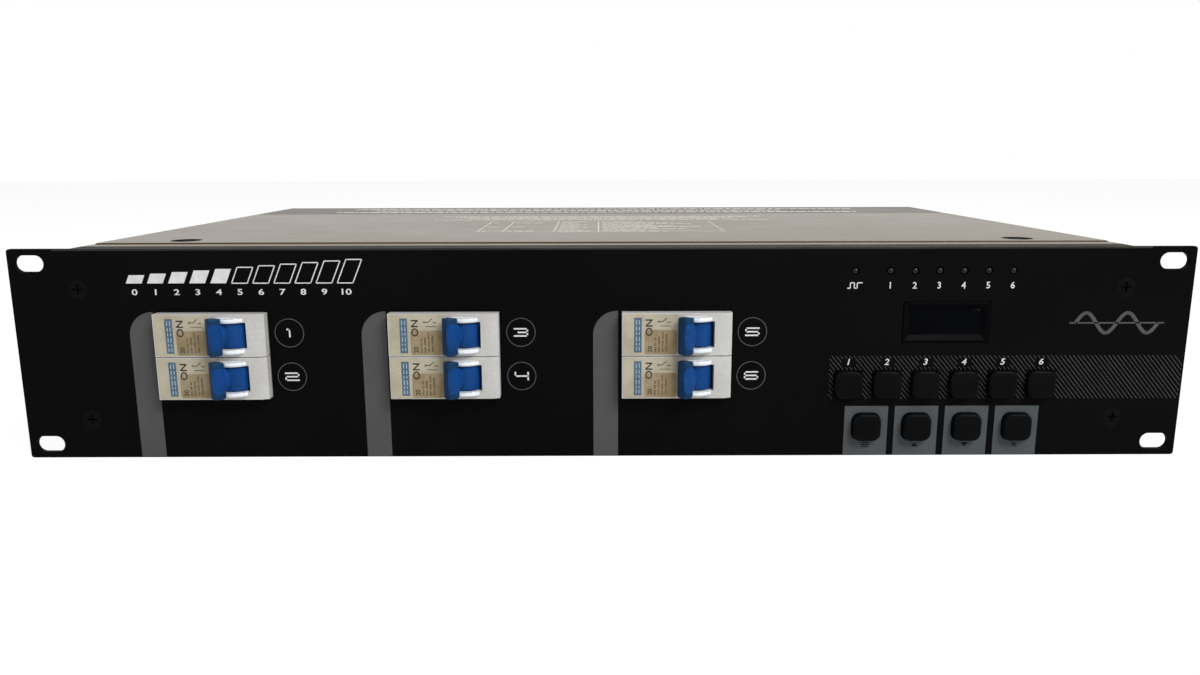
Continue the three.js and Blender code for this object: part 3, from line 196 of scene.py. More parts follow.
class EffectLibrary:
    """The shader node groups that the finishes share, each built once."""

    def __init__(self) -> None:
        """Builds every group."""
        self.blotches = self._group("soft_blotches", {"Scale": 10.0}, ["Mask"], self._blotches)
        self.grain = self._group("fine_grain", {"Scale": 900.0}, ["Height", "Mask"], self._grain)
        self.dust = self._group("settled_dust", {"Amount": 0.2, "Scale": 60.0}, ["Mask"], self._dust)
        self.rub = self._group("rubbed_edges", {"Amount": 0.3, "Scale": 300.0}, ["Mask"], self._rub)
        self.brush = self._group("brushed_lines", {"Scale": 60.0}, ["Height", "Mask"], self._brush)
        self.scuff = self._group("light_scuffs", {"Amount": 0.3}, ["Mask"], self._scuff)
        self.wire = self._group("wound_wire", {"Turns": 70.0}, ["Height", "Mask"], self._wire)
        self.track = self._group("board_tracks", {"Pitch": 0.0025}, ["Mask"], self._track)

    def _group(self, name: str, inputs: Mapping[str, float], outputs: Sequence[str], fill: Any) -> Any:
        """Builds one group.

        Args:
            name: The group's name.
            inputs: Its inputs with their usual values.
            outputs: The names of its outputs.
            fill: The method that adds its nodes and returns the outputs' sockets.

        Returns:
            The node group.
        """
        tree = bpy.data.node_groups.new(name, "ShaderNodeTree")
        for label, value in inputs.items():
            made = tree.interface.new_socket(name=label, in_out="INPUT", socket_type="NodeSocketFloat")
            made.default_value = value
        for label in outputs:
            tree.interface.new_socket(name=label, in_out="OUTPUT", socket_type="NodeSocketFloat")
        graph = Graph(tree)
        given = graph.add("NodeGroupInput").outputs
        last = graph.add("NodeGroupOutput")
        for label, socket in zip(outputs, fill(graph, given)):
            graph.set(last, label, socket)
        return tree

    def _blotches(self, graph: Graph, given: Any) -> list[Socket]:
        """Wide soft patches."""
        value = graph.noise(graph.place(), given["Scale"], 4.0)
        return [graph.ramp(value, 0.32, 0.68)]

    def _grain(self, graph: Graph, given: Any) -> list[Socket]:
        """The orange-peel and pits of paint or moulded plastic.

        Args:
            graph: The group's nodes.
            given: The sockets of the group's inputs.

        Returns:
            The sockets of the height and the mask.
        """
        place = graph.place()
        fine = graph.noise(place, given["Scale"], 2.0)
        coarse = graph.noise(place, graph.math("MULTIPLY", given["Scale"], 0.22), 2.0)
        height = graph.math("MULTIPLY_ADD", coarse, 0.6, fine)
        return [height, graph.ramp(fine, 0.4, 0.62)]

    def _dust(self, graph: Graph, given: Any) -> list[Socket]:
        """Dust on whatever faces up.

        Args:
            graph: The group's nodes.
            given: The sockets of the group's inputs.

        Returns:
            The mask's socket.
        """
        normal = graph.add("ShaderNodeNewGeometry").outputs["Normal"]
        upward = graph.add("ShaderNodeSeparateXYZ", {0: normal}).outputs["Z"]
        facing = graph.ramp(upward, 0.35, 0.95)
        cloud = graph.ramp(graph.noise(graph.place(), given["Scale"], 5.0), 0.3, 0.75)
        return [graph.math("MULTIPLY", graph.math("MULTIPLY", facing, cloud), given["Amount"])]

    def _rub(self, graph: Graph, given: Any) -> list[Socket]:
        """Edges that hands have polished.

        Args:
            graph: The group's nodes.
            given: The sockets of the group's inputs.

        Returns:
            The mask's socket.
        """
        bulge = graph.add("ShaderNodeNewGeometry").outputs["Pointiness"]
        edge = graph.ramp(bulge, 0.505, 0.56)
        patch = graph.ramp(graph.noise(graph.place(), given["Scale"], 3.0), 0.35, 0.65)
        return [graph.math("MULTIPLY", graph.math("MULTIPLY", edge, patch), given["Amount"])]

    def _brush(self, graph: Graph, given: Any) -> list[Socket]:
        """Fine lines drawn along X.

        Args:
            graph: The group's nodes.
            given: The sockets of the group's inputs.

        Returns:
            The sockets of the height and the mask.
        """
        place = graph.stretched((1.0, 60.0, 60.0))
        lines = graph.noise(place, given["Scale"], 3.0)
        return [lines, graph.ramp(lines, 0.3, 0.7)]

    def _scuff(self, graph: Graph, given: Any) -> list[Socket]:
        """A few thin scratches that run two ways.

        Args:
            graph: The group's nodes.
            given: The sockets of the group's inputs.

        Returns:
            The mask's socket.
        """
        first = graph.ramp(graph.noise(graph.stretched((4.0, 420.0, 420.0), 0.5), 3.0, 2.0), 0.69, 0.74)
        second = graph.ramp(graph.noise(graph.stretched((500.0, 5.0, 400.0), -0.3), 3.0, 2.0), 0.7, 0.75)
        both = graph.math("MAXIMUM", first, second)
        return [graph.math("MULTIPLY", both, given["Amount"])]

    def _wire(self, graph: Graph, given: Any) -> list[Socket]:
        """Turns of wire round a ring that lies flat.

        Args:
            graph: The group's nodes.
            given: The sockets of the group's inputs.

        Returns:
            The sockets of the height and the mask.
        """
        whole = graph.add("ShaderNodeTexCoord").outputs["Generated"]
        axes = graph.add("ShaderNodeSeparateXYZ", {0: whole}).outputs
        across = graph.math("SUBTRACT", axes["X"], 0.5)
        along = graph.math("SUBTRACT", axes["Y"], 0.5)
        angle = graph.math("ARCTAN2", along, across)
        wave = graph.math("SINE", graph.math("MULTIPLY", angle, given["Turns"]))
        return [wave, graph.ramp(wave, -0.8, 0.6)]

    def _track(self, graph: Graph, given: Any) -> list[Socket]:
        """Copper tracks under the lacquer of a circuit board.

        Args:
            graph: The group's nodes.
            given: The sockets of the group's inputs.

        Returns:
            The mask's socket.
        """
        place = graph.place()
        axes = graph.add("ShaderNodeSeparateXYZ", {0: place}).outputs
        cells = graph.noise(place, 90.0, 0.0)
        lane = graph.math("ADD", axes["X"], graph.math("MULTIPLY", graph.math("ROUND", cells), 0.01))
        wave = graph.math("PINGPONG", lane, given["Pitch"])
        return [graph.ramp(graph.math("DIVIDE", wave, given["Pitch"]), 0.62, 0.7)]


@dataclass(frozen=True)
class Finish:
    """One paint, plastic or metal, with its own grain, blotches, dust and wear."""

    name: str
    colour: Colour
    tint: Colour
    roughness: float
    spread: float = 0.08
    metallic: float = 0.0
    specular: float = 0.5
    grain: float = 900.0
    relief: float = 0.15
    blotch: float = 14.0
    dust: float = 0.0
    rub: float = 0.0
    rubbed: Colour = (0.3, 0.3, 0.3)
    pattern: Pattern = Pattern.PLAIN

    def material(self, effects: EffectLibrary) -> bpy.types.Material:
        """Makes the Blender material, or returns the one made before.

        Args:
            effects: The shared groups.

        Returns:
            The material.
        """
        made = bpy.data.materials.get(self.name)
        if made is not None:
            return made
        made = bpy.data.materials.new(self.name)
        made.use_nodes = True
        made.node_tree.nodes.clear()
        graph = Graph(made.node_tree)
        blotch = self._effect(graph, effects.blotches, {"Scale": self.blotch}).outputs["Mask"]
        grain = self._effect(graph, effects.grain, {"Scale": self.grain})
        base = graph.mix(blotch, self.colour, self.tint)
        height = grain.outputs["Height"]
        base, height = self._patterned(graph, effects, base, height)
        fleck = graph.math("MULTIPLY", grain.outputs["Mask"], 0.18)
        darker = tuple(0.6 * part for part in self.colour)
        base = graph.mix(fleck, base, darker)
        rough = graph.math("MULTIPLY_ADD", blotch, self.spread, self.roughness - self.spread / 2)
        if self.rub:
            mask = self._effect(graph, effects.rub, {"Amount": self.rub}).outputs["Mask"]
            base = graph.mix(mask, base, self.rubbed)
        if self.dust:
            mask = self._effect(graph, effects.dust, {"Amount": self.dust}).outputs["Mask"]
            base = graph.mix(mask, base, DUST_COLOUR)
            rough = graph.math("MULTIPLY_ADD", mask, 0.5, rough)
        bump = graph.add("ShaderNodeBump", {"Strength": self.relief, "Distance": 0.0002, "Height": height})
        shader = graph.add(
            "ShaderNodeBsdfPrincipled",
            {
                "Base Color": base,
                "Roughness": rough,
                "Metallic": self.metallic,
                "Specular IOR Level": self.specular,
                "Normal": bump.outputs[0],
            },
        )
        graph.add("ShaderNodeOutputMaterial", {"Surface": shader.outputs[0]})
        return made

    def _effect(self, graph: Graph, tree: bpy.types.NodeTree, values: Mapping[str, Any]) -> bpy.types.Node:
        """Places one of the shared groups with this finish's values.

        Args:
            graph: The material's nodes.
            tree: The group.
            values: Values or sockets for its inputs, by name.

        Returns:
            The group's node.
        """
        node = graph.add("ShaderNodeGroup", node_tree=tree)
        for key, value in values.items():
            graph.set(node, key, value)
        return node

    def _patterned(
        self, graph: Graph, effects: EffectLibrary, base: Socket, height: Socket
    ) -> tuple[Socket, Socket]:
        """Adds what the finish shows besides its grain.

        Args:
            graph: The material's nodes.
            effects: The shared groups.
            base: The colour so far.
            height: The relief so far.

        Returns:
            The colour and the relief with the pattern.
        """
        lighter = tuple(min(1.0, 1.5 * part + 0.02) for part in self.tint)
        darker = tuple(0.55 * part for part in self.colour)
        if self.pattern is Pattern.BRUSHED:
            lines = self._effect(graph, effects.brush, {"Scale": 60.0})
            shade = graph.math("MULTIPLY", lines.outputs["Mask"], 0.5)
            return graph.mix(shade, base, darker), lines.outputs["Height"]
        if self.pattern is Pattern.SCUFFED:
            marks = self._effect(graph, effects.scuff, {"Amount": 0.5})
            return graph.mix(marks.outputs["Mask"], base, lighter), height
        if self.pattern is Pattern.WOUND:
            turns = self._effect(graph, effects.wire, {"Turns": 70.0})
            return graph.mix(turns.outputs["Mask"], darker, base), turns.outputs["Height"]
        if self.pattern is Pattern.TRACKS:
            tracks = self._effect(graph, effects.track, {"Pitch": 0.0025})
            return graph.mix(tracks.outputs["Mask"], base, lighter), height
        return base, height


DUST_COLOUR: Colour = (0.33, 0.3, 0.26)
# The panel's own black paint; on the cover's screw dishes it stands for painted shade.
PANEL_BLACK_AND_DISH_SHADE = Finish(
    "panel_black_coat_and_dish_shade", (0.0024, 0.0024, 0.0027), (0.0034, 0.0033, 0.0036), 0.5, specular=0.018,
    grain=1500.0, relief=0.22, blotch=9.0, dust=0.012,
)
# Painted highlight: a lighter band where light catches the plate's rounded top edge.
EDGE_PAINTED_HIGHLIGHT = Finish(
    "panel_edge_painted_highlight", (0.037, 0.033, 0.028), (0.025, 0.022, 0.019), 0.55, specular=0.08, grain=1500.0,
    relief=0.2, blotch=30.0,
)
# Painted shade: a dark copy of the paint for the flange's leg, bend and front, where the gap behind the plate
# lies in shadow.
FOLD_PAINTED_SHADE = Finish(
    "fold_painted_shade", (0.01, 0.0085, 0.0065), (0.014, 0.012, 0.0095), 0.55, specular=0.03, grain=1500.0,
    relief=0.22, blotch=12.0, dust=0.05,
)
COVER_COAT = Finish(
    "cover_warm_coat", (0.09, 0.064, 0.037), (0.106, 0.077, 0.047), 0.33, spread=0.06, specular=0.42,
    grain=1100.0, relief=0.5, blotch=7.0, dust=0.1, pattern=Pattern.SCUFFED,
)
REAR_COAT = Finish(
    "rear_strip_coat", (0.045, 0.036, 0.027), (0.056, 0.045, 0.034), 0.4, specular=0.26,
    grain=1100.0, relief=0.5, blotch=8.0, dust=0.1, pattern=Pattern.SCUFFED,
)
ZINC = Finish(
    "zinc_plated_steel", (0.52, 0.53, 0.55), (0.42, 0.44, 0.47), 0.36, spread=0.18, metallic=1.0,
    grain=700.0, relief=0.1, blotch=60.0, pattern=Pattern.BRUSHED,
)
SHELL_WHITE = Finish(
    "breaker_white_shell", (0.51, 0.505, 0.49), (0.46, 0.45, 0.43), 0.42, specular=0.4, grain=1100.0,
    relief=0.1, blotch=70.0, dust=0.04,
)
# White moulding painted lighter than the shell: a painted highlight on the cheeks' rounded ridges.
CHEEK_PAINTED_HIGHLIGHT = Finish(
    "breaker_cheek_painted_highlight", (0.78, 0.83, 0.89), (0.72, 0.78, 0.85), 0.2, grain=1100.0,
    relief=0.05, blotch=70.0,
)
LABEL_CREAM = Finish(
    "label_cream_film", (0.46, 0.42, 0.32), (0.37, 0.33, 0.24), 0.5, specular=0.2, grain=1500.0, relief=0.05,
    blotch=90.0,
)
LABEL_TAN = Finish(
    "label_tan_field", (0.25, 0.19, 0.1), (0.32, 0.26, 0.17), 0.5, specular=0.12, grain=1800.0,
    relief=0.05, blotch=130.0,
)
LABEL_SLATE = Finish(
    "label_slate_field", (0.05, 0.1, 0.155), (0.08, 0.14, 0.2), 0.5, specular=0.3, grain=1500.0,
    relief=0.05, blotch=200.0,
)
LABEL_INK = Finish(
    "label_dark_ink", (0.018, 0.016, 0.014), (0.03, 0.026, 0.022), 0.55, specular=0.25, relief=0.05,
)
LABEL_BROWN = Finish(
    "label_brown_ink", (0.13, 0.09, 0.045), (0.19, 0.14, 0.08), 0.55, specular=0.25, relief=0.05,
    blotch=400.0,
)
LABEL_PALE = Finish(
    "label_pale_ink", (0.42, 0.48, 0.53), (0.32, 0.38, 0.44), 0.5, specular=0.25, relief=0.05,
)
LEVER_BLUE = Finish(
    "lever_blue_plastic", (0.003, 0.048, 0.2), (0.0025, 0.04, 0.165), 0.34, specular=0.1, grain=1000.0,
    relief=0.07, blotch=90.0, rub=0.25, rubbed=(0.02, 0.1, 0.32),
)
# A darker copy of the lever blue: painted shade on the slanted grip.
LEVER_PAINTED_SHADE = Finish(
    "lever_blue_painted_shade", (0.0045, 0.033, 0.088), (0.004, 0.029, 0.074), 0.4, specular=0.1, grain=1000.0,
    relief=0.07, blotch=90.0, rub=0.3, rubbed=(0.006, 0.046, 0.15),
)
BUTTON_BLACK = Finish(
    "button_black_plastic", (0.0026, 0.0027, 0.0032), (0.0036, 0.0037, 0.0043), 0.36, specular=0.026,
    grain=1400.0, relief=0.12, blotch=80.0, rub=0.35, rubbed=(0.012, 0.012, 0.014),
)
FRAME_BLACK = Finish(
    "display_frame_plastic", (0.002, 0.002, 0.0025), (0.0028, 0.0028, 0.0034), 0.34, specular=0.012,
    grain=1400.0, relief=0.08,
)
SMOKED = Finish(
    "smoked_display_lens", (0.0012, 0.0014, 0.0026), (0.0018, 0.002, 0.0036), 0.12, spread=0.05,
    specular=0.016, grain=300.0, relief=0.015, blotch=40.0,
)
LAMP_DARK = Finish(
    "dark_lamp_resin", (0.001, 0.001, 0.0009), (0.0014, 0.0014, 0.0013), 0.2, spread=0.04, specular=0.24,
    relief=0.02, blotch=500.0,
)
BOARD_GREEN = Finish(
    "green_board_lacquer", (0.014, 0.09, 0.035), (0.02, 0.11, 0.05), 0.35, relief=0.06,
    blotch=50.0, pattern=Pattern.TRACKS,
)
DARK_PLASTIC = Finish(
    "dark_moulded_plastic", (0.014, 0.014, 0.015), (0.021, 0.021, 0.0225), 0.44, specular=0.4,
    grain=1100.0, relief=0.14, blotch=45.0, dust=0.08,
)
NICKEL = Finish(
    "nickel_plated_shell", (0.56, 0.54, 0.5), (0.47, 0.45, 0.42), 0.26, spread=0.12, metallic=1.0,
    relief=0.06, blotch=70.0,
)
ALUMINIUM = Finish(
    "extruded_aluminium", (0.68, 0.69, 0.71), (0.6, 0.61, 0.63), 0.34, spread=0.14, metallic=1.0,
    grain=700.0, relief=0.12, blotch=40.0, pattern=Pattern.BRUSHED,
)
COPPER = Finish(
    "enamelled_copper_wire", (0.55, 0.24, 0.09), (0.47, 0.19, 0.07), 0.3, metallic=0.7, grain=600.0,
    relief=0.6, blotch=60.0, pattern=Pattern.WOUND,
)
SCREW_BLACK = Finish(
    "black_oxide_steel", (0.0028, 0.0028, 0.003), (0.0045, 0.0043, 0.0043), 0.45, spread=0.14,
    metallic=0.05, specular=0.03, grain=1200.0, relief=0.1, blotch=200.0,
)
BRASS = Finish(
    "brass_contact", (0.62, 0.44, 0.16), (0.5, 0.34, 0.12), 0.28, metallic=1.0, relief=0.06,
)
PRINT_GREY = Finish(
    "grey_screen_print", (0.074, 0.076, 0.074), (0.082, 0.084, 0.081), 0.55, specular=0.05, grain=2600.0,
    relief=0.12, blotch=60.0,
)
PLATE_GREY = Finish(
    "blue_grey_screen_print", (0.071, 0.079, 0.084), (0.078, 0.087, 0.091), 0.55, specular=0.05,
    grain=2600.0, relief=0.12, blotch=60.0,
)
PRINT_LINE = Finish(
    "dim_line_print", (0.066, 0.068, 0.071), (0.088, 0.09, 0.093), 0.55, specular=0.05, grain=2600.0,
    relief=0.1, blotch=150.0,
)
PRINT_WHITE = Finish(
    "white_screen_print", (0.7, 0.7, 0.7), (0.6, 0.6, 0.6), 0.5, specular=0.15, grain=2600.0,
    relief=0.1, blotch=300.0,
)
PRINT_BLACK = Finish(
    "black_screen_print", (0.006, 0.006, 0.0065), (0.009, 0.009, 0.0095), 0.5, specular=0.05, relief=0.1,
)
COVER_PRINT = Finish(
    "pale_cover_print", (0.7, 0.67, 0.6), (0.6, 0.57, 0.5), 0.45, specular=0.4, grain=2200.0,
    relief=0.1, blotch=220.0,
)


# Outlines in the plane of a face, and the shaper that turns them into pieces


def rectangle(x0: float, y0: float, x1: float, y1: float) -> list[Point]:
    """Gives the corners of a rectangle, counter-clockwise."""
    return [(x0, y0), (x1, y0), (x1, y1), (x0, y1)]


def arc(x: float, y: float, radius: float, start: float, end: float, steps: int) -> list[Point]:
    """Gives points along an arc.

    Args:
        x: The centre, to the right.
        y: The centre, upwards.
        radius: The arc's radius.
        start: Its first angle in degrees.
        end: Its last angle in degrees.
        steps: How many steps it has.

    Returns:
        The points, both ends among them.
    """
    turns = [math.radians(start + (end - start) * step / steps) for step in range(steps + 1)]
    return [(x + radius * math.cos(turn), y + radius * math.sin(turn)) for turn in turns]


def circle(radius: float, x: float = 0.0, y: float = 0.0, sides: int = 40) -> list[Point]:
    """Gives a circle's points, counter-clockwise."""
    return arc(x, y, radius, 0, 360 - 360 / sides, sides - 1)


def rounded(width: float, height: float, radius: float, steps: int = 6) -> list[Point]:
    """Gives a rectangle with round corners about the middle, counter-clockwise.

    Args:
        width: Its width.
        height: Its height.
        radius: The corners' radius.
        steps: How many steps each corner has.

    Returns:
        The points.
    """
    right, top = width / 2 - radius, height / 2 - radius
    corners = ((right, -top, -90), (right, top, 0), (-right, top, 90), (-right, -top, 180))
    return [point for x, y, turn in corners for point in arc(x, y, radius, turn, turn + 90, steps)]


def moved(outline: Iterable[Point], x: float, y: float) -> list[Point]:
    """Gives an outline at another place."""
    return [(a + x, b + y) for a, b in outline]


def lifted(outline: Iterable[Point], z: float, scale: float = 1.0) -> Ring:
    """Gives an outline as a ring at a height, scaled about the middle."""
    return [(a * scale, b * scale, z) for a, b in outline]


def cross(reach: float, half: float) -> list[Point]:
    """Gives the outline of a cross recess, counter-clockwise.

    Args:
        reach: How far each arm reaches from the middle.
        half: Half an arm's width.

    Returns:
        The points.
    """
    return [
        (reach, -half), (reach, half), (half, half), (half, reach), (-half, reach), (-half, half),
        (-reach, half), (-reach, -half), (-half, -half), (-half, -reach), (half, -reach), (half, -half),
    ]


@dataclass(frozen=True)
class Cut:
    """A hole through a plate: its outline in front, and at the back where that differs."""

    front: list[Point]
    back: list[Point] | None = None


class Shaper:
    """Collects the faces of one piece, in millimetres, and turns them into a Blender object."""

    effects: EffectLibrary

    def __init__(self, finish: Finish) -> None:
        """Starts an empty piece with its first finish.

        Args:
            finish: The finish of the faces until another is used.
        """
        self.mesh = bmesh.new()
        self.finishes = [finish]
        self.finish = 0

    def use(self, finish: Finish) -> None:
        """Gives the faces that follow another finish.

        Args:
            finish: The finish.
        """
        if finish not in self.finishes:
            self.finishes.append(finish)
        self.finish = self.finishes.index(finish)

    def face(self, corners: Sequence[bmesh.types.BMVert]) -> None:
        """Adds one face, unless its corners coincide or it is there already.

        Args:
            corners: The face's corners in order.
        """
        distinct = list(dict.fromkeys(corners))
        if len(distinct) > 2 and self.mesh.faces.get(distinct) is None:
            self.mesh.faces.new(distinct).material_index = self.finish

    def loft(self, rings: Sequence[Ring], where: Matrix, start: bool = True, end: bool = True) -> None:
        """Joins rings of equally many points.

        Args:
            rings: The rings, from the first to the last.
            where: The matrix from the rings' coordinates to the panel's.
            start: Whether the first ring is closed by a face.
            end: Whether the last ring is closed by a face.
        """
        rows = [[self.mesh.verts.new(where @ Vector(point)) for point in ring] for ring in rings]
        for low, high in zip(rows, rows[1:]):
            for index, corner in enumerate(low):
                after = (index + 1) % len(low)
                self.face((corner, low[after], high[after], high[index]))
        if start:
            self.face(rows[0][::-1])
        if end:
            self.face(rows[-1])

    def slab(self, outline: Sequence[Point], z0: float, z1: float, where: Matrix) -> None:
        """Adds a solid with one outline between two heights."""
        self.loft([lifted(outline, z0), lifted(outline, z1)], where)

    def pillow(self, outline: list[Point], z0: float, z1: float, edge: float, where: Matrix,
               steps: int = 3, both: bool = False) -> None:
        """Adds a solid whose outer rim is rounded.

        Args:
            outline: The outline about the middle.
            z0: The lower height.
            z1: The upper height.
            edge: The radius of the rim.
            where: The matrix to the panel's coordinates.
            steps: How many steps the rim has.
            both: Whether the lower rim is rounded too.
        """
        reach = max(abs(value) for point in outline for value in point)
        turns = [math.pi / 2 * step / steps for step in range(steps + 1)]
        upper = [(z1 - edge + edge * math.sin(t), 1 - edge * (1 - math.cos(t)) / reach) for t in turns]
        lower = [(z0 + edge - edge * math.sin(t), 1 - edge * (1 - math.cos(t)) / reach) for t in turns]
        levels = (lower[::-1] if both else [(z0, 1.0)]) + upper
        self.loft([lifted(outline, z, scale) for z, scale in levels], where)

    def turned(self, profile: Sequence[Point], where: Matrix, sides: int) -> None:
        """Adds a round solid about the face's outward axis, from a profile of radius and height."""
        self.loft([lifted(circle(r, sides=sides), z) for r, z in profile], where)

    def tube(self, profile: Sequence[Point], where: Matrix, sides: int = 40) -> None:
        """Adds a round ring whose section is a closed profile of radius and height."""
        rings = [lifted(circle(r, sides=sides), z) for r, z in profile]
        self.loft(rings + rings[:1], where, False, False)

    def plate(self, outline: list[Point], cuts: Sequence[Cut], z0: float, z1: float, where: Matrix,
              open_edges: Sequence[int] = (), back: list[Point] | None = None) -> None:
        """Adds a flat plate with holes.

        Args:
            outline: Its outline in front.
            cuts: Its holes.
            z0: The height of its back.
            z1: The height of its front.
            where: The matrix to the panel's coordinates.
            open_edges: The numbers of the outline's edges that get no wall.
            back: Its outline at the back, where that differs.
        """
        loops = [(outline, back or outline)] + [(cut.front, cut.back or cut.front) for cut in cuts]
        walls = []
        for z, which in ((z1, 0), (z0, 1)):
            edges, rows = [], []
            for loop in loops:
                row = [self.mesh.verts.new(where @ Vector((x, y, z))) for x, y in loop[which]]
                rows.append(row)
                edges += [self.mesh.edges.new((a, b)) for a, b in zip(row, row[1:] + row[:1])]
            made = bmesh.ops.triangle_fill(self.mesh, use_beauty=True, edges=edges)
            for item in made["geom"]:
                if isinstance(item, bmesh.types.BMFace):
                    item.material_index = self.finish
            walls.append(rows)
        for number, (front, rear) in enumerate(zip(*walls)):
            for index in range(len(front)):
                if number == 0 and index in open_edges:
                    continue
                after = (index + 1) % len(front)
                self.face((front[index], rear[index], rear[after], front[after]))

    def bars(self, bars: Iterable[Quad], where: Matrix, z0: float = PRINT_BACK, z1: float = SKIN) -> None:
        """Adds thin printed rectangles, each from its lower left to its upper right corner."""
        for x0, y0, x1, y1 in bars:
            self.slab(rectangle(x0, y0, x1, y1), z0, z1, where)

    def hoop(self, radius: float, width: float, where: Matrix, sides: int = 64) -> None:
        """Adds a thin printed circle line."""
        within = radius - width
        self.tube([(radius, PRINT_BACK), (radius, SKIN), (within, SKIN), (within, PRINT_BACK)], where, sides)

    def stroke(self, points: Sequence[Point], width: float, where: Matrix) -> None:
        """Adds a thin printed line through points, each stretch a bar of its own.

        Args:
            points: The points, in order.
            width: The line's width.
            where: The matrix to the panel's coordinates.
        """
        for (x0, y0), (x1, y1) in zip(points, points[1:]):
            length = math.hypot(x1 - x0, y1 - y0)
            a, b = (y0 - y1) / length * width / 2, (x1 - x0) / length * width / 2
            self.slab([(x0 - a, y0 - b), (x1 - a, y1 - b), (x1 + a, y1 + b), (x0 + a, y0 + b)],
                      PRINT_BACK, SKIN, where)

    def square_digit(self, digit: int, reach: float, rise: float, width: float, where: Matrix) -> None:
        """Adds a squared digit drawn with straight strokes, about its middle.

        Args:
            digit: The digit, 1 to 6.
            reach: Half the digit's width between stroke centres.
            rise: Half its height between stroke centres.
            width: The strokes' width.
            where: The matrix to the panel's coordinates.
        """
        half = width / 2
        self.bars([
            (x0 * reach - half, y0 * rise - half, x1 * reach + half, y1 * rise + half)
            for x0, y0, x1, y1 in SQUARE_DIGITS[digit]
        ], where)

    def digits(self, text: str, height: float, where: Matrix, widen: float = 1.0, slant: float = 0.0) -> None:
        """Adds plain characters of the built-in font as thin print, about their middle.

        Args:
            text: The characters.
            height: The height of a digit.
            where: The matrix to the panel's coordinates.
            widen: How much wider than drawn they are.
            slant: How far they lean to the right, as a share of their height.
        """
        curve = bpy.data.curves.new("characters", "FONT")
        curve.body = text
        curve.align_x = "CENTER"
        curve.resolution_u = 3
        curve.extrude = (SKIN - PRINT_BACK) / 2
        curve.offset = DIGIT_BOLDNESS
        drawn = bpy.data.objects.new("characters", curve)
        bpy.context.scene.collection.objects.link(drawn)
        graph = bpy.context.evaluated_depsgraph_get()
        flat = bpy.data.meshes.new_from_object(drawn.evaluated_get(graph))
        bpy.data.objects.remove(drawn)
        scale = height / DIGIT_HEIGHT
        tops = [v.co.y for v in flat.vertices]
        middle = (max(tops) + min(tops)) / 2
        corners = []
        for vertex in flat.vertices:
            y = (vertex.co.y - middle) * scale
            x = vertex.co.x * scale * widen + slant * y
            corners.append(self.mesh.verts.new(where @ Vector((x, y, vertex.co.z + (SKIN + PRINT_BACK) / 2))))
        for polygon in flat.polygons:
            self.face([corners[index] for index in polygon.vertices])
        bpy.data.meshes.remove(flat)

    def cad(self, node: str) -> None:
        """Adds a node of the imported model, with its flat faces whole again.

        Args:
            node: The node's name.
        """
        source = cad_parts[node].data
        offset = Vector((0, FRONT_FACE, 0))
        corners = [self.mesh.verts.new((vertex.co - offset) / MM) for vertex in source.vertices]
        for polygon in source.polygons:
            self.face([corners[index] for index in polygon.vertices])

    def piece(self, name: str, slot: str, body: str = CHASSIS, replaces: Sequence[str] = (),
              bevel: float = 0.0, sharp: float = 32.0) -> None:
        """Finishes the piece and puts it in the scene.

        Args:
            name: The piece's name.
            slot: The record's material slot; not used.
            body: The body that it rides on.
            replaces: The nodes that it stands for.
            bevel: The width of the rounding along its sharp edges.
            sharp: The angle in degrees above which an edge is sharp.
        """
        work = self.mesh
        bmesh.ops.remove_doubles(work, verts=work.verts, dist=0.002)
        if bevel:
            bmesh.ops.dissolve_limit(work, angle_limit=math.radians(0.6), verts=work.verts, edges=work.edges)
        bmesh.ops.recalc_face_normals(work, faces=work.faces)
        work.transform(Matrix.Translation((0, FRONT_FACE, 0)) @ Matrix.Scale(MM, 4))
        mesh = bpy.data.meshes.new(name)
        work.to_mesh(mesh)
        work.free()
        for finish in self.finishes:
            mesh.materials.append(finish.material(self.effects))
        mesh.shade_smooth()
        mesh.set_sharp_from_angle(angle=math.radians(sharp))
        made = bpy.data.objects.new(name, mesh)
        bpy.context.scene.collection.objects.link(made)
        if bevel:
            rounding = made.modifiers.new("rounding", "BEVEL")
            rounding.width = bevel * MM
            rounding.segments = 2
            rounding.limit_method = "ANGLE"
            rounding.angle_limit = math.radians(sharp)
            rounding.harden_normals = True
            graph = bpy.context.evaluated_depsgraph_get()
            made.data = bpy.data.meshes.new_from_object(made.evaluated_get(graph))
            made.data.name = name
            made.modifiers.clear()
        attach(made, body)
        if replaces:
            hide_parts(*replaces)
        LOG.info("%s: %d faces on %s", name, len(made.data.polygons), body)


# Sub-assemblies


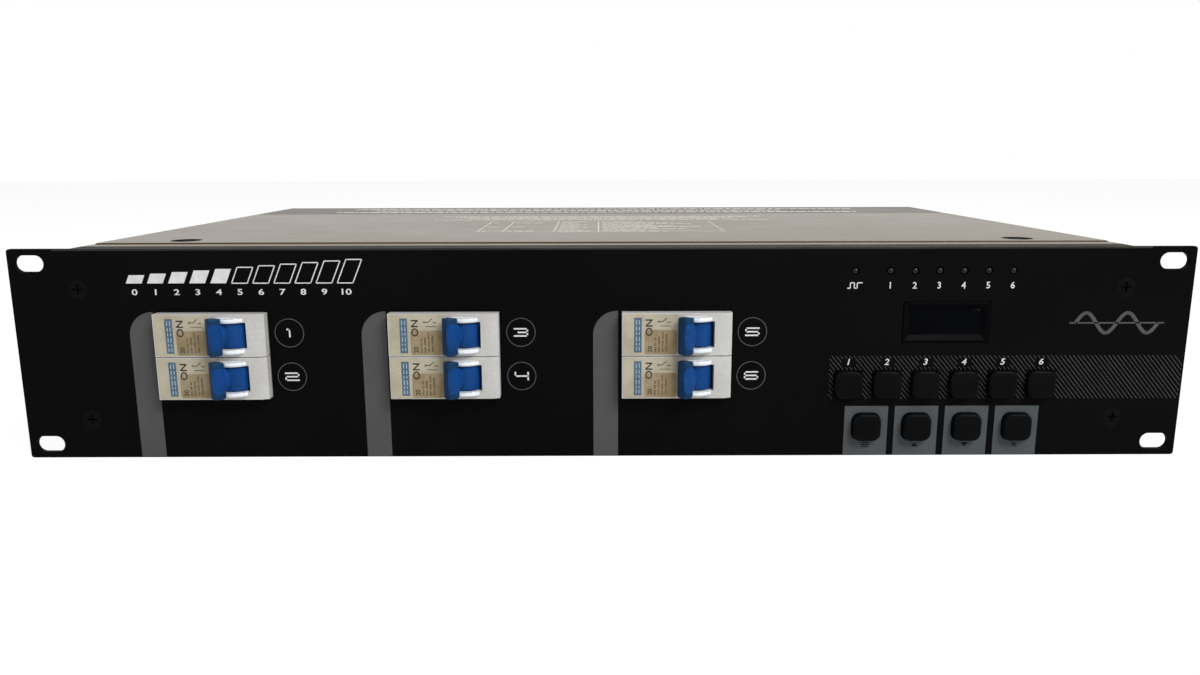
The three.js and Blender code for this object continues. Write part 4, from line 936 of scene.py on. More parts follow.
@dataclass
class Screws:
    """Cross-head screws, countersunk or pan-headed."""

    recess_reach: float = 2.1
    recess_half: float = 0.42
    recess_depth: float = 1.1
    recess_taper: float = 0.8
    head_per_shank: float = 2.1
    length: float = 8.0
    pan_angles: tuple[float, ...] = (0.0, 0.35, 0.7, 1.0)
    pan_sunk: float = 0.2
    pan_recess_half: float = 0.32
    pan_recess_depth: float = 0.8
    pan_recess_floor: float = 0.1
    sides: int = 36

    def countersunk(self, shaper: Shaper, head: float, where: Matrix) -> None:
        """Adds a flat-topped screw whose head tapers inwards.

        Args:
            shaper: The piece that it belongs to.
            head: The head's radius.
            where: The matrix from the head's top to the panel's coordinates.
        """
        depth = min(self.recess_depth, head / 2)
        share = 1 - depth / head
        recess = cross(min(self.recess_reach, 0.6 * head), self.recess_half)
        narrow = [(x * self.recess_taper, y * self.recess_taper) for x, y in recess]
        back = [(x * share, y * share) for x, y in circle(head, sides=self.sides)]
        shaper.plate(circle(head, sides=self.sides), [Cut(recess, narrow)], -depth, 0, where, back=back)
        shank = head / self.head_per_shank
        profile = [(head * share, -depth), (shank, shank - head), (shank, -self.length)]
        shaper.turned(profile, where, self.sides)

    def pan(self, shaper: Shaper, head: float, height: float, where: Matrix) -> None:
        """Adds a screw with a domed head that stands on the sheet.

        Args:
            shaper: The piece that it belongs to.
            head: The head's radius.
            height: How far its dome rises.
            where: The matrix from the sheet to the panel's coordinates.
        """
        dome = [(head * math.cos(t), height * math.sin(t)) for t in self.pan_angles]
        rings = [lifted(circle(r, sides=self.sides), z) for r, z in [(head, -self.pan_sunk)] + dome]
        shaper.loft(rings, where, True, False)
        flat, crown = dome[-1]
        floor = crown - self.pan_recess_depth
        recess = cross(min(self.recess_reach, 0.8 * flat), self.pan_recess_half)
        shaper.plate(circle(flat, sides=self.sides), [Cut(recess)], floor, crown, where)
        shaper.slab(circle(0.98 * flat, sides=self.sides), floor - self.pan_recess_floor, floor, where)


@dataclass
class FrontPanel:
    """The flat panel with its rack ears, its flanges, its windows and its print."""

    half_width: float = 241.3
    height: float = 88.1
    thickness: float = 2.0
    corner: float = 1.2
    flange_half: float = 220.0
    flange_radius: float = 3.0
    flange_depth: float = 26.0
    flange_leg: float = 2.0
    flange_sheet: float = 1.2
    # Where the painted shade on the flange ends, towards the rear
    flange_dark: float = 17.0
    flange_sink: float = 0.6
    flange_overlap: float = 0.05
    # The painted highlight along the plate's top edge: its reach past the flanges, its height on the face,
    # its start in from the plate's back and how far it stands proud
    worn_reach: float = 3.0
    worn_height: float = 0.8
    worn_back: float = 0.3
    worn_coat: float = 0.03
    edge: float = 0.2
    slot_x: float = 232.55
    slot_z: float = 5.95
    slot_size: Point = (11.8, 6.8)
    slot_flat: float = 0.01
    pair_x: tuple[float, ...] = (-160.2, -64.9, 30.4)
    window: Point = (46.0, 36.7)
    window_corner: float = 0.6
    lamp_z: float = 78.3
    lamp_hole: float = 1.65
    signal_x: float = 103.0
    lamp_x: float = 117.4
    lamp_pitch: float = 10.0
    channel_x: float = 102.0
    channel_pitch: float = 16.0
    channel_z: float = 31.0
    menu_x: float = 110.5
    menu_pitch: float = 21.0
    menu_z: float = 12.6
    button_hole: float = 12.2
    button_corner: float = 3.5
    # The middle, to the right and upwards, then the width and the height
    display: Quad = (141.3, 57.0, 36.0, 17.2)
    display_corner: float = 0.5
    screw_x: float = 214.0
    screw_z: Point = (16.55, 71.55)
    screw_head: float = 4.0
    screw_gap: float = 0.25
    screw_bore: float = 2.3
    screw_sunk: float = 0.15
    stud_x: Point = (97.0, 199.0)
    stud_z: Point = (18.0, 69.1)
    stud_radius: float = 2.4
    stud_end: float = 8.7
    stud_sunk: float = 0.1
    band_from_pair: Point = (-34.3, -24.0)
    band_top: float = 62.2
    band_corner: float = 10.0
    plate_half: float = 9.1
    plate_top: float = 21.5
    plate_gap: float = 0.1
    circle_from_pair: float = 31.3
    circle_z: Point = (53.3, 34.8)
    circle_radius: float = 6.05
    circle_line: float = 0.32
    circle_digit: tuple[float, float, float] = (2.65, 1.5, 0.62)
    # Left, right, lower and upper edge
    hatch: Quad = (94.0, 240.4, 24.6, 43.0)
    hatch_pitch: float = 1.82
    hatch_lean: float = 0.84
    hatch_line: float = 0.2
    hatch_steps: int = 46
    hatch_shortest: float = 0.8
    bare_at_button: Point = (6.2, 6.2)
    bare_at_digit: Point = (3.0, 1.8)
    level_x: float = -194.0
    level_z: float = 74.0
    level_pitch: float = 8.6
    level_width: float = 6.4
    level_lean: float = 0.42
    level_height: float = 3.4
    level_rise: float = 0.62
    level_count: int = 11
    level_filled: int = 5
    level_digit_z: float = 70.4
    wave_place: Point = (211.5, 56.6)
    wave_reach: float = 17.0
    wave_swing: float = 4.2
    wave_line: float = 1.5
    wave_level: Point = (19.5, 0.6)
    wave_steps: int = 40
    lamp_digit_z: float = 72.4
    channel_digit_z: float = 40.4
    symbol_z: float = 4.7
    thin_line: float = 0.42
    face: Matrix = field(default_factory=lambda: Side.FRONT.at(0, 0, 0))

    def build(self) -> None:
        """Builds the sheet, its screws and its print."""
        self.sheet()
        self.screws()
        self.bands()
        self.circles()
        self.hatching()
        self.level_scale()
        self.wave_mark()
        self.white_print()
        self.plate_symbols()

    def holes(self) -> list[Cut]:
        """Gives every hole of the face.

        Returns:
            The holes.
        """
        low, high = self.slot_z, self.height - self.slot_z
        slot = rounded(*self.slot_size, self.slot_size[1] / 2 - self.slot_flat, 10)
        cuts = [Cut(moved(slot, sx * self.slot_x, z)) for sx in (-1, 1) for z in (low, high)]
        middle = self.height / 2
        opening = rounded(*self.window, self.window_corner, 3)
        cuts += [Cut(moved(opening, x, middle)) for x in self.pair_x]
        key = rounded(self.button_hole, self.button_hole, self.button_corner, 6)
        cuts += [Cut(moved(key, x, z)) for x, z in self.channel_places() + self.menu_places()]
        cuts += [Cut(circle(self.lamp_hole, x, self.lamp_z, 24)) for x in self.lamp_places()]
        x, z, width, height = self.display
        cuts.append(Cut(moved(rounded(width, height, self.display_corner, 3), x, z)))
        seat = self.screw_head + self.screw_gap
        cuts += [Cut(circle(seat, x, z, 36), circle(self.screw_bore, x, z, 36))
                 for x, z in self.screw_places()]
        return cuts

    def screw_places(self) -> list[Point]:
        """Gives the places of the four panel screws, in the order of their nodes."""
        low, high = self.screw_z
        return [(-self.screw_x, high), (self.screw_x, high), (-self.screw_x, low), (self.screw_x, low)]

    def channel_places(self) -> list[Point]:
        """Gives the places of the channel buttons."""
        return [(self.channel_x + self.channel_pitch * step, self.channel_z) for step in range(6)]

    def menu_places(self) -> list[Point]:
        """Gives the places of the menu buttons."""
        return [(self.menu_x + self.menu_pitch * step, self.menu_z) for step in range(4)]

    def lamp_places(self) -> list[float]:
        """Gives the places of the signal lamp and the channel lamps along the panel."""
        return [self.signal_x] + [self.lamp_x + self.lamp_pitch * step for step in range(6)]

    def sheet(self) -> None:
        """Builds the plate with its holes, the flanges behind its long edges and the board's studs."""
        shaper = Shaper(PANEL_BLACK_AND_DISH_SHADE)
        outline = moved(rounded(2 * self.half_width, self.height, self.corner, 5), 0, self.height / 2)
        shaper.plate(outline, self.holes(), -self.thickness, 0, self.face)
        stud = circle(self.stud_radius, sides=20)
        for x in self.stud_x:
            for z in self.stud_z:
                shaper.slab(stud, -self.stud_end, -self.thickness + self.stud_sunk, Side.FRONT.at(x, 0, z))
        for flip in (False, True):
            self.flange(shaper, flip)
        # A lighter band along the top edge: painted highlight where light catches the rounded edge.
        reach = self.flange_half + self.worn_reach
        highlight_band = rectangle(-reach, self.height - self.worn_height, reach, self.height + self.worn_coat)
        shaper.use(EDGE_PAINTED_HIGHLIGHT)
        shaper.slab(highlight_band, -self.thickness + self.worn_back, self.worn_coat, self.face)
        shaper.piece("front_panel_sheet", "panel_paint", replaces=["front_panel"], bevel=0.22)

    def flange(self, shaper: Shaper, flip: bool) -> None:
        """Adds one flange: a leg on the plate's back and a bend, both in painted shade, and the flat behind
        them, whose front part is painted shade too.

        Args:
            shaper: The piece that it belongs to.
            flip: Whether it is the one at the lower edge.
        """
        radius, half = self.flange_radius, self.flange_half
        start = self.thickness - self.flange_overlap
        middle, leg = start + radius, radius + self.flange_leg
        turns = [math.radians(90 * step / 8) for step in range(9)]
        paths = []
        for bend, inset in ((radius, 0.0), (radius - self.flange_sheet, self.flange_sheet)):
            path = [(start + inset, leg)]
            path += [(middle - bend * math.cos(t), radius - bend * math.sin(t)) for t in turns]
            path += [(self.flange_dark, inset), (self.flange_depth, inset)]
            drops = [(y, drop + self.flange_sink) for y, drop in path]
            paths.append([(y, drop if flip else self.height - drop) for y, drop in drops])
        rows = [[(-half, y0, z0), (half, y0, z0), (half, y1, z1), (-half, y1, z1)]
                for (y0, z0), (y1, z1) in zip(*paths)]
        # The leg, the bend and the flat's front part take painted shade; only the flat's rear part keeps the
        # cover's coat.
        shaper.use(FOLD_PAINTED_SHADE)
        shaper.loft(rows[:-1], Matrix.Identity(4))
        shaper.use(COVER_COAT)
        shaper.loft(rows[-2:], Matrix.Identity(4))

    def screws(self) -> None:
        """Builds the four countersunk screws."""
        for number, (x, z) in enumerate(self.screw_places(), 1):
            shaper = Shaper(SCREW_BLACK)
            Screws().countersunk(shaper, self.screw_head, Side.FRONT.at(x, self.screw_sunk, z))
            name = f"panel_screw_{number}"
            shaper.piece(f"{name}_head", "screw_steel", replaces=[name], sharp=40)

    def bands(self) -> None:
        """Builds the grey bands beside the breakers and the grey plates round the menu buttons."""
        shaper = Shaper(PRINT_GREY)
        top, turn = self.band_top, self.band_corner
        for pair in self.pair_x:
            left, right = [pair + side for side in self.band_from_pair]
            outline = [(left, self.edge), (right, self.edge), (right, top)]
            outline += arc(left + turn, top - turn, turn, 90, 180, 14)
            shaper.slab(outline, PRINT_BACK, SKIN, self.face)
        shaper.use(PLATE_GREY)
        wide = self.button_hole + self.plate_gap
        hole = rounded(wide, wide, self.button_corner + self.plate_gap, 6)
        for x, z in self.menu_places():
            outline = rectangle(x - self.plate_half, self.edge, x + self.plate_half, self.plate_top)
            shaper.plate(outline, [Cut(moved(hole, x, z))], PRINT_BACK, SKIN, self.face)
        shaper.piece("grey_panel_print", "panel_paint")

    def circles(self) -> None:
        """Builds the thin circles round the channel digits."""
        shaper = Shaper(PRINT_LINE)
        for x, z, _ in self.circle_places():
            shaper.hoop(self.circle_radius, self.circle_line, Side.FRONT.at(x, 0, z))
        shaper.piece("channel_circles", "panel_paint")

    def circle_places(self) -> list[tuple[float, float, int]]:
        """Gives each channel circle's place and digit.

        Returns:
            The places to the right and upwards, each with its digit.
        """
        return [
            (pair + self.circle_from_pair, z, 2 * column + row)
            for column, pair in enumerate(self.pair_x)
            for row, z in enumerate(self.circle_z, 1)
        ]

    def hatching(self) -> None:
        """Builds the hatched strip that runs from the channel buttons to the panel's edge."""
        shaper = Shaper(PRINT_LINE)
        left, right, low, high = self.hatch
        bare = [(x, z, *self.bare_at_button) for x, z in self.channel_places()]
        bare += [(x, self.channel_digit_z, *self.bare_at_digit) for x, _ in self.channel_places()]
        first = left - self.hatch_lean * (high - low)
        for number in range(int((right - first) / self.hatch_pitch)):
            self.slanted_line(shaper, first + self.hatch_pitch * number, bare)
        shaper.piece("hatched_print", "panel_paint")

    def slanted_line(self, shaper: Shaper, start: float, bare: Sequence[Quad]) -> None:
        """Adds one slanted line of the hatching.

        Args:
            shaper: The piece that it belongs to.
            start: Where it meets the strip's upper edge.
            bare: The places that stay free of it: centre and half size.
        """
        left, right, low, high = self.hatch
        drop = (high - low) / self.hatch_steps
        run = None
        for step in range(self.hatch_steps + 1):
            z = high - drop * step
            x = start + self.hatch_lean * (high - z)
            free = left <= x <= right and all(abs(x - a) > w or abs(z - b) > h for a, b, w, h in bare)
            if free and run is None:
                run = (x, z)
            if run and (not free or step == self.hatch_steps):
                if run[1] - z > self.hatch_shortest:
                    shaper.stroke([(x, z), run], self.hatch_line, self.face)
                run = None

    def level_scale(self) -> None:
        """Builds the rising level bars in the upper left corner, the first ones filled."""
        filled, lined = Shaper(PRINT_WHITE), Shaper(PRINT_WHITE)
        base, width = self.level_z, self.level_width
        for number in range(self.level_count):
            x = self.level_x + self.level_pitch * number
            tall = self.level_height + self.level_rise * number
            shape = [(x, base), (x + width, base), (x + width + self.level_lean * tall, base + tall),
                     (x + self.level_lean * tall, base + tall)]
            if number < self.level_filled:
                filled.slab(shape, PRINT_BACK, SKIN, self.face)
            else:
                lined.stroke(shape + shape[:1], self.thin_line, self.face)
            lined.digits(str(number), 2.3, Side.FRONT.at(x + width / 2, 0, self.level_digit_z), 1.5)
        filled.piece("level_bars_filled", "panel_paint")
        lined.piece("level_bars_lined", "panel_paint")

    def wave_mark(self) -> None:
        """Builds a plain mains wave with a level line in the upper right corner."""
        shaper = Shaper(PRINT_GREY)
        x, z = self.wave_place
        where = Side.FRONT.at(x, 0, z)
        half, steps = self.wave_reach, self.wave_steps
        points = [(-half + 2 * half * step / steps, self.wave_swing * math.sin(4 * math.pi * step / steps))
                  for step in range(steps + 1)]
        shaper.stroke(points, self.wave_line, where)
        reach, line = self.wave_level
        shaper.stroke([(-reach, 0), (reach, 0)], line, where)
        shaper.piece("wave_mark", "panel_paint")

    def white_print(self) -> None:
        """Builds the digits at the breakers, the lamps and the channel buttons."""
        shaper = Shaper(PRINT_WHITE)
        for x, z, number in self.circle_places():
            shaper.square_digit(number, *self.circle_digit, Side.FRONT.at(x, 0, z))
        for number, x in enumerate(self.lamp_places()[1:], 1):
            shaper.digits(str(number), 2.6, Side.FRONT.at(x, 0, self.lamp_digit_z), 0.95)
        pulse = [(-3.1, -1.1), (-1.9, -1.1), (-1.9, 1.1), (-0.3, 1.1), (-0.3, -1.1), (0.9, -1.1), (0.9, 1.1),
                 (3.1, 1.1)]
        shaper.stroke(pulse, self.thin_line, Side.FRONT.at(self.signal_x, 0, self.lamp_digit_z))
        for number, (x, _) in enumerate(self.channel_places(), 1):
            shaper.digits(str(number), 2.5, Side.FRONT.at(x, 0, self.channel_digit_z), 1.1, 0.18)
        shaper.piece("white_panel_print", "panel_paint")

    def plate_symbols(self) -> None:
        """Builds the dark symbols under the menu buttons: list, up, down and back."""
        shaper = Shaper(PRINT_BLACK)
        rows, rise, fall, back = [Side.FRONT.at(x, -SKIN, self.symbol_z) for x, _ in self.menu_places()]
        shaper.bars([(-1.6, z - 0.2, 1.6, z + 0.2) for z in (-0.85, 0.0, 0.85)], rows)
        shaper.slab([(-1.5, -0.9), (1.5, -0.9), (0, 1.0)], -0.02, SKIN, rise)
        shaper.slab([(-1.5, 0.9), (0, -1.0), (1.5, 0.9)], -0.02, SKIN, fall)
        for tilt in (1, -1):
            shaper.stroke([(-1.0, -0.9 * tilt), (1.0, 0.9 * tilt)], self.thin_line, back)
        shaper.piece("menu_symbols", "panel_paint")


@dataclass
class Breakers:
    """Six breakers lying on their sides, each with a blue lever between white cheeks."""

    panel: FrontPanel
    module: float = 18.0
    width: float = 17.7
    nose: float = 45.0
    proud: float = 4.5
    axis_x: float = 8.2
    axis_y: float = 0.9
    drum_radius: float = 6.8
    drum_half: float = 5.05
    cheek_radius: float = 8.06
    cheek_near: float = 5.4
    cheek_thick: float = 2.05
    cheek_overlap: float = 0.03
    cheek_edge: float = 0.8
    pin_radius: float = 1.4
    pin_length: float = 1.4
    lean: float = -27.0
    grip: tuple[float, float, float] = (5.8, 5.1, 15.2)
    grip_near: float = 8.5
    swell_power: float = 2.2
    label_long: float = 22.4
    label_margin: float = 0.7
    label_x: float = 11.6
    tan_size: Point = (13.4, 10.2)
    tan_place: Point = (15.9, -3.1)
    # Left, lower, right and upper edge
    slate: Quad = (4.9, -7.4, 8.0, 7.0)
    slate_columns: Point = (5.7, 6.9)
    slate_dash: float = 0.32
    slate_dashes: tuple[Point, ...] = (
        (-6.6, 1.5), (-4.4, 1.0), (-2.7, 1.9), (0.0, 1.1), (1.8, 1.6), (4.2, 1.9),
    )
    brown_dash: float = 0.75
    # Each row's place across the label, with where its dashes start and how long they are
    brown_rows: tuple[tuple[float, tuple[Point, ...]], ...] = (
        (13.2, ((-7.4, 2.2), (-4.7, 1.6), (-2.6, 1.4))),
        (14.7, ((-7.4, 2.6), (-4.2, 3.4))),
        (16.2, ((-7.2, 1.8), (-4.9, 2.6), (-1.8, 3.0))),
        (17.7, ((-7.0, 2.4), (-4.1, 4.4))),
    )
    on_place: Point = (11.0, 3.0)
    rating_place: Point = (11.4, -6.0)

    def build(self) -> None:
        """Builds every breaker with its lever and its label."""
        for number in CHANNELS:
            x = self.panel.pair_x[(number - 1) // 2]
            z = self.panel.height / 2 + self.module / 2 * (1 if number % 2 else -1)
            self.housing(number)
            self.cheeks(number, x, z)
            self.lever(number, x, z)
            self.label(number, x, z)

    def housing(self, number: int) -> None:
        """Builds the moulded housing with softened edges.

        Args:
            number: The breaker's number.
        """
        shaper = Shaper(SHELL_WHITE)
        shaper.cad(f"breaker_{number}")
        shaper.piece(f"breaker_{number}_shell", "breaker_plastic", replaces=[f"breaker_{number}"],
                     bevel=0.28, sharp=26)

    def cheeks(self, number: int, x: float, z: float) -> None:
        """Builds the two round cheeks that guard the lever.

        Args:
            number: The breaker's number.
            x: The breaker's middle, to the right.
            z: Its middle, upwards.
        """
        # The cheeks are the shell's white moulding, made lighter as painted highlight.
        shaper = Shaper(CHEEK_PAINTED_HIGHLIGHT)
        middle = self.cheek_near + self.cheek_thick / 2
        half = self.cheek_thick / 2 + self.cheek_overlap
        for side in (-1, 1):
            where = Matrix.Translation((x + self.axis_x, self.axis_y, z + side * middle))
            shaper.pillow(circle(self.cheek_radius, sides=64), -half, half, self.cheek_edge, where, 5, True)
        shaper.piece(f"breaker_{number}_cheeks", "breaker_plastic", sharp=50)

    def lever(self, number: int, x: float, z: float) -> None:
        """Builds the lever: drum, pins, neck, bulging pad and slanted grip, leaning as it does at rest.

        Args:
            number: The breaker's number.
            x: The breaker's middle, to the right.
            z: Its middle, upwards.
        """
        shaper = Shaper(LEVER_BLUE)
        lean = Matrix.Rotation(math.radians(self.lean), 4, "Z")
        where = Matrix.Translation((x + self.axis_x, self.axis_y, z)) @ lean
        half = self.drum_half
        shaper.pillow(circle(self.drum_radius, sides=64), -half, half, 0.3, where, both=True)
        pin = half + self.pin_length
        shaper.pillow(circle(self.pin_radius, sides=24), -pin, pin, 0.2, where, both=True)
        thick, deep, wide = self.grip
        far = self.grip_near + deep
        rings = []
        for step in range(-6, 7):
            share = step / 6
            side = 3.5 - 2.4 * abs(share) ** self.swell_power
            shape = [(-thick / 2, 0), (-thick / 2, -self.grip_near - 0.7), (side - 1.6, -10.2),
                     (side - 0.7, -9.5), (side - 0.1, -8.2), (side, -6.6), (side, -3.0), (side, 0)]
            rings.append(lifted(shape, half * share))
        shaper.loft(rings, where)
        outline = [(-2.7, -self.grip_near), (-3.4, -10.7), (-3.45, -11.1), (-3.2, -11.4), (0.3, -12.95),
                   (0.75, -12.95), (1.1, -12.6), (2.2, -10.6), (2.4, -9.9), (2.3, -self.grip_near)]
        centre = -(self.grip_near + far) / 2
        ends = [(wide / 2, 0.86), (wide / 2 - 0.25, 0.95), (wide / 2 - 0.8, 1.0)]
        levels = [(-z1, s) for z1, s in ends] + [(z1, s) for z1, s in reversed(ends)]
        rings = []
        for step in range(-6, 7):
            swell = 1 - abs(step / 6) ** self.swell_power
            left = 1.0 - 1.5 * swell
            pad = [(1.2, -self.grip_near - 0.2), (left, -10.6), (left, -12.92 + 0.443 * (0.3 - left)),
                   (0.5, -12.97 - 0.25 * swell), (1.25, -12.5 - 0.2 * swell), (2.25 + 0.8 * swell, -10.8),
                   (2.3 + 1.1 * swell, -9.7), (2.2 + 1.1 * swell, -self.grip_near - 0.2)]
            rings.append(lifted(pad, 5.4 * step / 6))
        shaper.loft(rings, where)
        # The slanted grip takes a darker copy of the blue as painted shade; the bulging pad beside it keeps
        # the plain blue as the lit side.
        shaper.use(LEVER_PAINTED_SHADE)
        rings = [[(a * s, centre + (b - centre) * s, height) for a, b in outline] for height, s in levels]
        shaper.loft(rings, where)
        shaper.piece(f"lever_{number}_grip", "lever_plastic", f"lever_{number}",
                     [f"breaker_lever_{number}"], sharp=50)

    def label(self, number: int, x: float, z: float) -> None:
        """Builds the printed label: fields, a contact symbol, a rating and rows of plain dashes.

        Args:
            number: The breaker's number.
            x: The breaker's middle, to the right.
            z: Its middle, upwards.
        """
        where = Side.FRONT.at(x - self.nose / 2, -self.proud, z)
        film = Shaper(LABEL_CREAM)
        outline = rounded(self.label_long, self.width - self.label_margin, 0.5, 3)
        film.slab(moved(outline, self.label_x, 0), -0.05, 0.05, where)
        film.use(LABEL_TAN)
        film.slab(moved(rounded(*self.tan_size, 1.2, 4), *self.tan_place), -0.02, 0.08, where)
        film.piece(f"breaker_{number}_label", "breaker_plastic")
        ink = Shaper(LABEL_SLATE)
        ink.bars([self.slate], where, -0.02, 0.09)
        ink.use(LABEL_PALE)
        dashes = [(side, start, side + self.slate_dash, start + tall)
                  for start, tall in self.slate_dashes for side in self.slate_columns]
        ink.bars(dashes, where, -0.02, 0.13)
        ink.use(LABEL_INK)
        quarter = Matrix.Rotation(math.pi / 2, 4, "Z")
        ink.digits("ON", 2.7, where @ Matrix.Translation((*self.on_place, 0.08)) @ quarter, 1.15)
        ink.digits("20", 1.8, where @ Matrix.Translation((*self.rating_place, 0.08)) @ quarter)
        raised = where @ Matrix.Translation((0, 0, 0.05))
        ink.stroke([(15.2, 5.4), (16.6, 5.4), (18.2, 6.9)], 0.3, raised)
        ink.stroke([(18.4, 5.2), (19.9, 5.2)], 0.3, raised)
        ink.stroke([(15.4, 3.6), (19.9, 3.6)], 0.22, raised)
        ink.hoop(0.45, 0.22, raised @ Matrix.Translation((14.9, 5.4, 0)), 20)
        ink.use(LABEL_BROWN)
        dashes = [(across, start, across + self.brown_dash, start + tall)
                  for across, marks in self.brown_rows for start, tall in marks]
        ink.bars(dashes, where, 0.0, 0.12)
        ink.piece(f"breaker_{number}_print", "breaker_plastic")


@dataclass
class Controls:
    """Ten push buttons, seven lamps and the display window."""

    panel: FrontPanel
    size: float = 11.6
    corner: float = 3.3
    proud: float = 3.0
    edge: float = 1.0
    crown: float = 0.3
    dip: float = 0.22
    crown_shares: tuple[float, ...] = (0.9, 0.78, 0.64, 0.5, 0.36, 0.22, 0.08)
    wall_levels: tuple[float, ...] = (-2.4, 0.0, 1.2)
    skirt: float = 13.5
    skirt_corner: float = 4.1
    skirt_edge: float = 0.15
    skirt_levels: Point = (-3.1, -2.35)
    stem: float = 1.7
    stem_levels: Point = (-6.3, -3.0)
    lamp_spacer: float = 1.2
    lamp_rim: float = 1.9
    lamp_radius: float = 1.5
    # The spacer's foot, the rim's back and front, and the middle of the dome's arc
    lamp_levels: Quad = (-8.7, -5.3, -4.3, -1.1)
    lamp_tip: Point = (0.06, 0.4)
    display_gap: float = 0.6
    frame_profile: tuple[Point, ...] = (
        (0.0, -3.0), (0.0, 0.12), (0.14, 0.25), (0.9, 0.25), (1.05, 0.12), (3.0, -1.55), (3.0, -3.0),
    )
    frame_lip: tuple[Point, ...] = ((3.2, -3.3), (3.2, -2.3), (0.0, -2.3))
    lens_inset: float = 5.96
    lens_edge: float = 0.12
    lens_levels: Point = (-2.6, -1.6)

    def build(self) -> None:
        """Builds every button, lamp and the display."""
        for number, place in enumerate(self.panel.channel_places(), 1):
            self.button(f"channel_button_{number}", place)
        names = ("menu_button", "up_button", "down_button", "escape_button")
        for name, place in zip(names, self.panel.menu_places()):
            self.button(name, place)
        for number, x in enumerate(self.panel.lamp_places()):
            self.lamp(f"channel_lamp_{number}" if number else "signal_lamp", x)
        self.display()

    def button(self, node: str, place: Point) -> None:
        """Builds one cap: a soft square with a crowned top, its skirt and its stem.

        Args:
            node: The button's node, which is its body too.
            place: Its middle, to the right and upwards.
        """
        shaper = Shaper(BUTTON_BLACK)
        where = Side.FRONT.at(place[0], 0, place[1])
        rings = [lifted(rounded(self.size, self.size, self.corner, 8), z) for z in self.wall_levels]
        for step in range(5):
            turn = math.pi / 2 * step / 4
            inset = self.edge * (1 - math.cos(turn))
            wide = self.size - 2 * inset
            z = self.proud - self.edge + self.edge * math.sin(turn)
            rings.append(lifted(rounded(wide, wide, self.corner - inset * 0.5, 8), z))
        flat = self.size - 2 * self.edge
        top = rounded(flat, flat, self.corner - self.edge * 0.5, 8)
        for share in self.crown_shares:
            rise = self.crown * (1 - share ** 2) - self.dip * (1 - share) ** 2
            rings.append(lifted(top, self.proud + rise, share))
        shaper.loft(rings, where)
        skirt = rounded(self.skirt, self.skirt, self.skirt_corner, 6)
        shaper.pillow(skirt, *self.skirt_levels, self.skirt_edge, where)
        shaper.slab(circle(self.stem, sides=20), *self.stem_levels, where)
        shaper.piece(f"{node}_cap", "button_plastic", node, [node], sharp=60)

    def lamp(self, node: str, x: float) -> None:
        """Builds one lamp: a domed lens with its rim and its spacer.

        Args:
            node: The lamp's node.
            x: Its middle, to the right.
        """
        shaper = Shaper(LAMP_DARK)
        where = Side.FRONT.at(x, 0, self.panel.lamp_z)
        foot, seat, rim, start = self.lamp_levels
        radius = self.lamp_radius
        profile = [(self.lamp_spacer, foot), (self.lamp_spacer, seat), (self.lamp_rim, seat),
                   (self.lamp_rim, rim), (radius, rim)]
        turns = [math.pi / 2 * step / 9 for step in range(9)]
        profile += [(radius * math.cos(t), start + radius * math.sin(t)) for t in turns]
        shaper.turned(profile + [self.lamp_tip], where, 28)
        shaper.piece(f"{node}_lens", "lamp_plastic", replaces=[node], sharp=45)

    def display(self) -> None:
        """Builds the sloping frame and the smoked lens."""
        x, z, width, height = self.panel.display
        where = Side.FRONT.at(x, 0, z)
        width, height = width - self.display_gap, height - self.display_gap
        border = Shaper(FRAME_BLACK)
        rings = [lifted(rounded(width - 2 * inset, height - 2 * inset, max(0.1, 0.5 - inset / 8), 3), level)
                 for inset, level in self.frame_profile]
        border.loft(rings + rings[:1], where, False, False)
        lip = [lifted(rounded(width + more, height + more, 0.6, 3), level) for more, level in self.frame_lip]
        border.loft(lip, where)
        border.piece("display_frame", "smoked_window", replaces=["display_window"], sharp=40)
        lens = Shaper(SMOKED)
        outline = rounded(width - self.lens_inset, height - self.lens_inset, 0.4, 3)
        lens.pillow(outline, *self.lens_levels, self.lens_edge, where, 2)
        lens.piece("display_lens", "smoked_window", sharp=50)


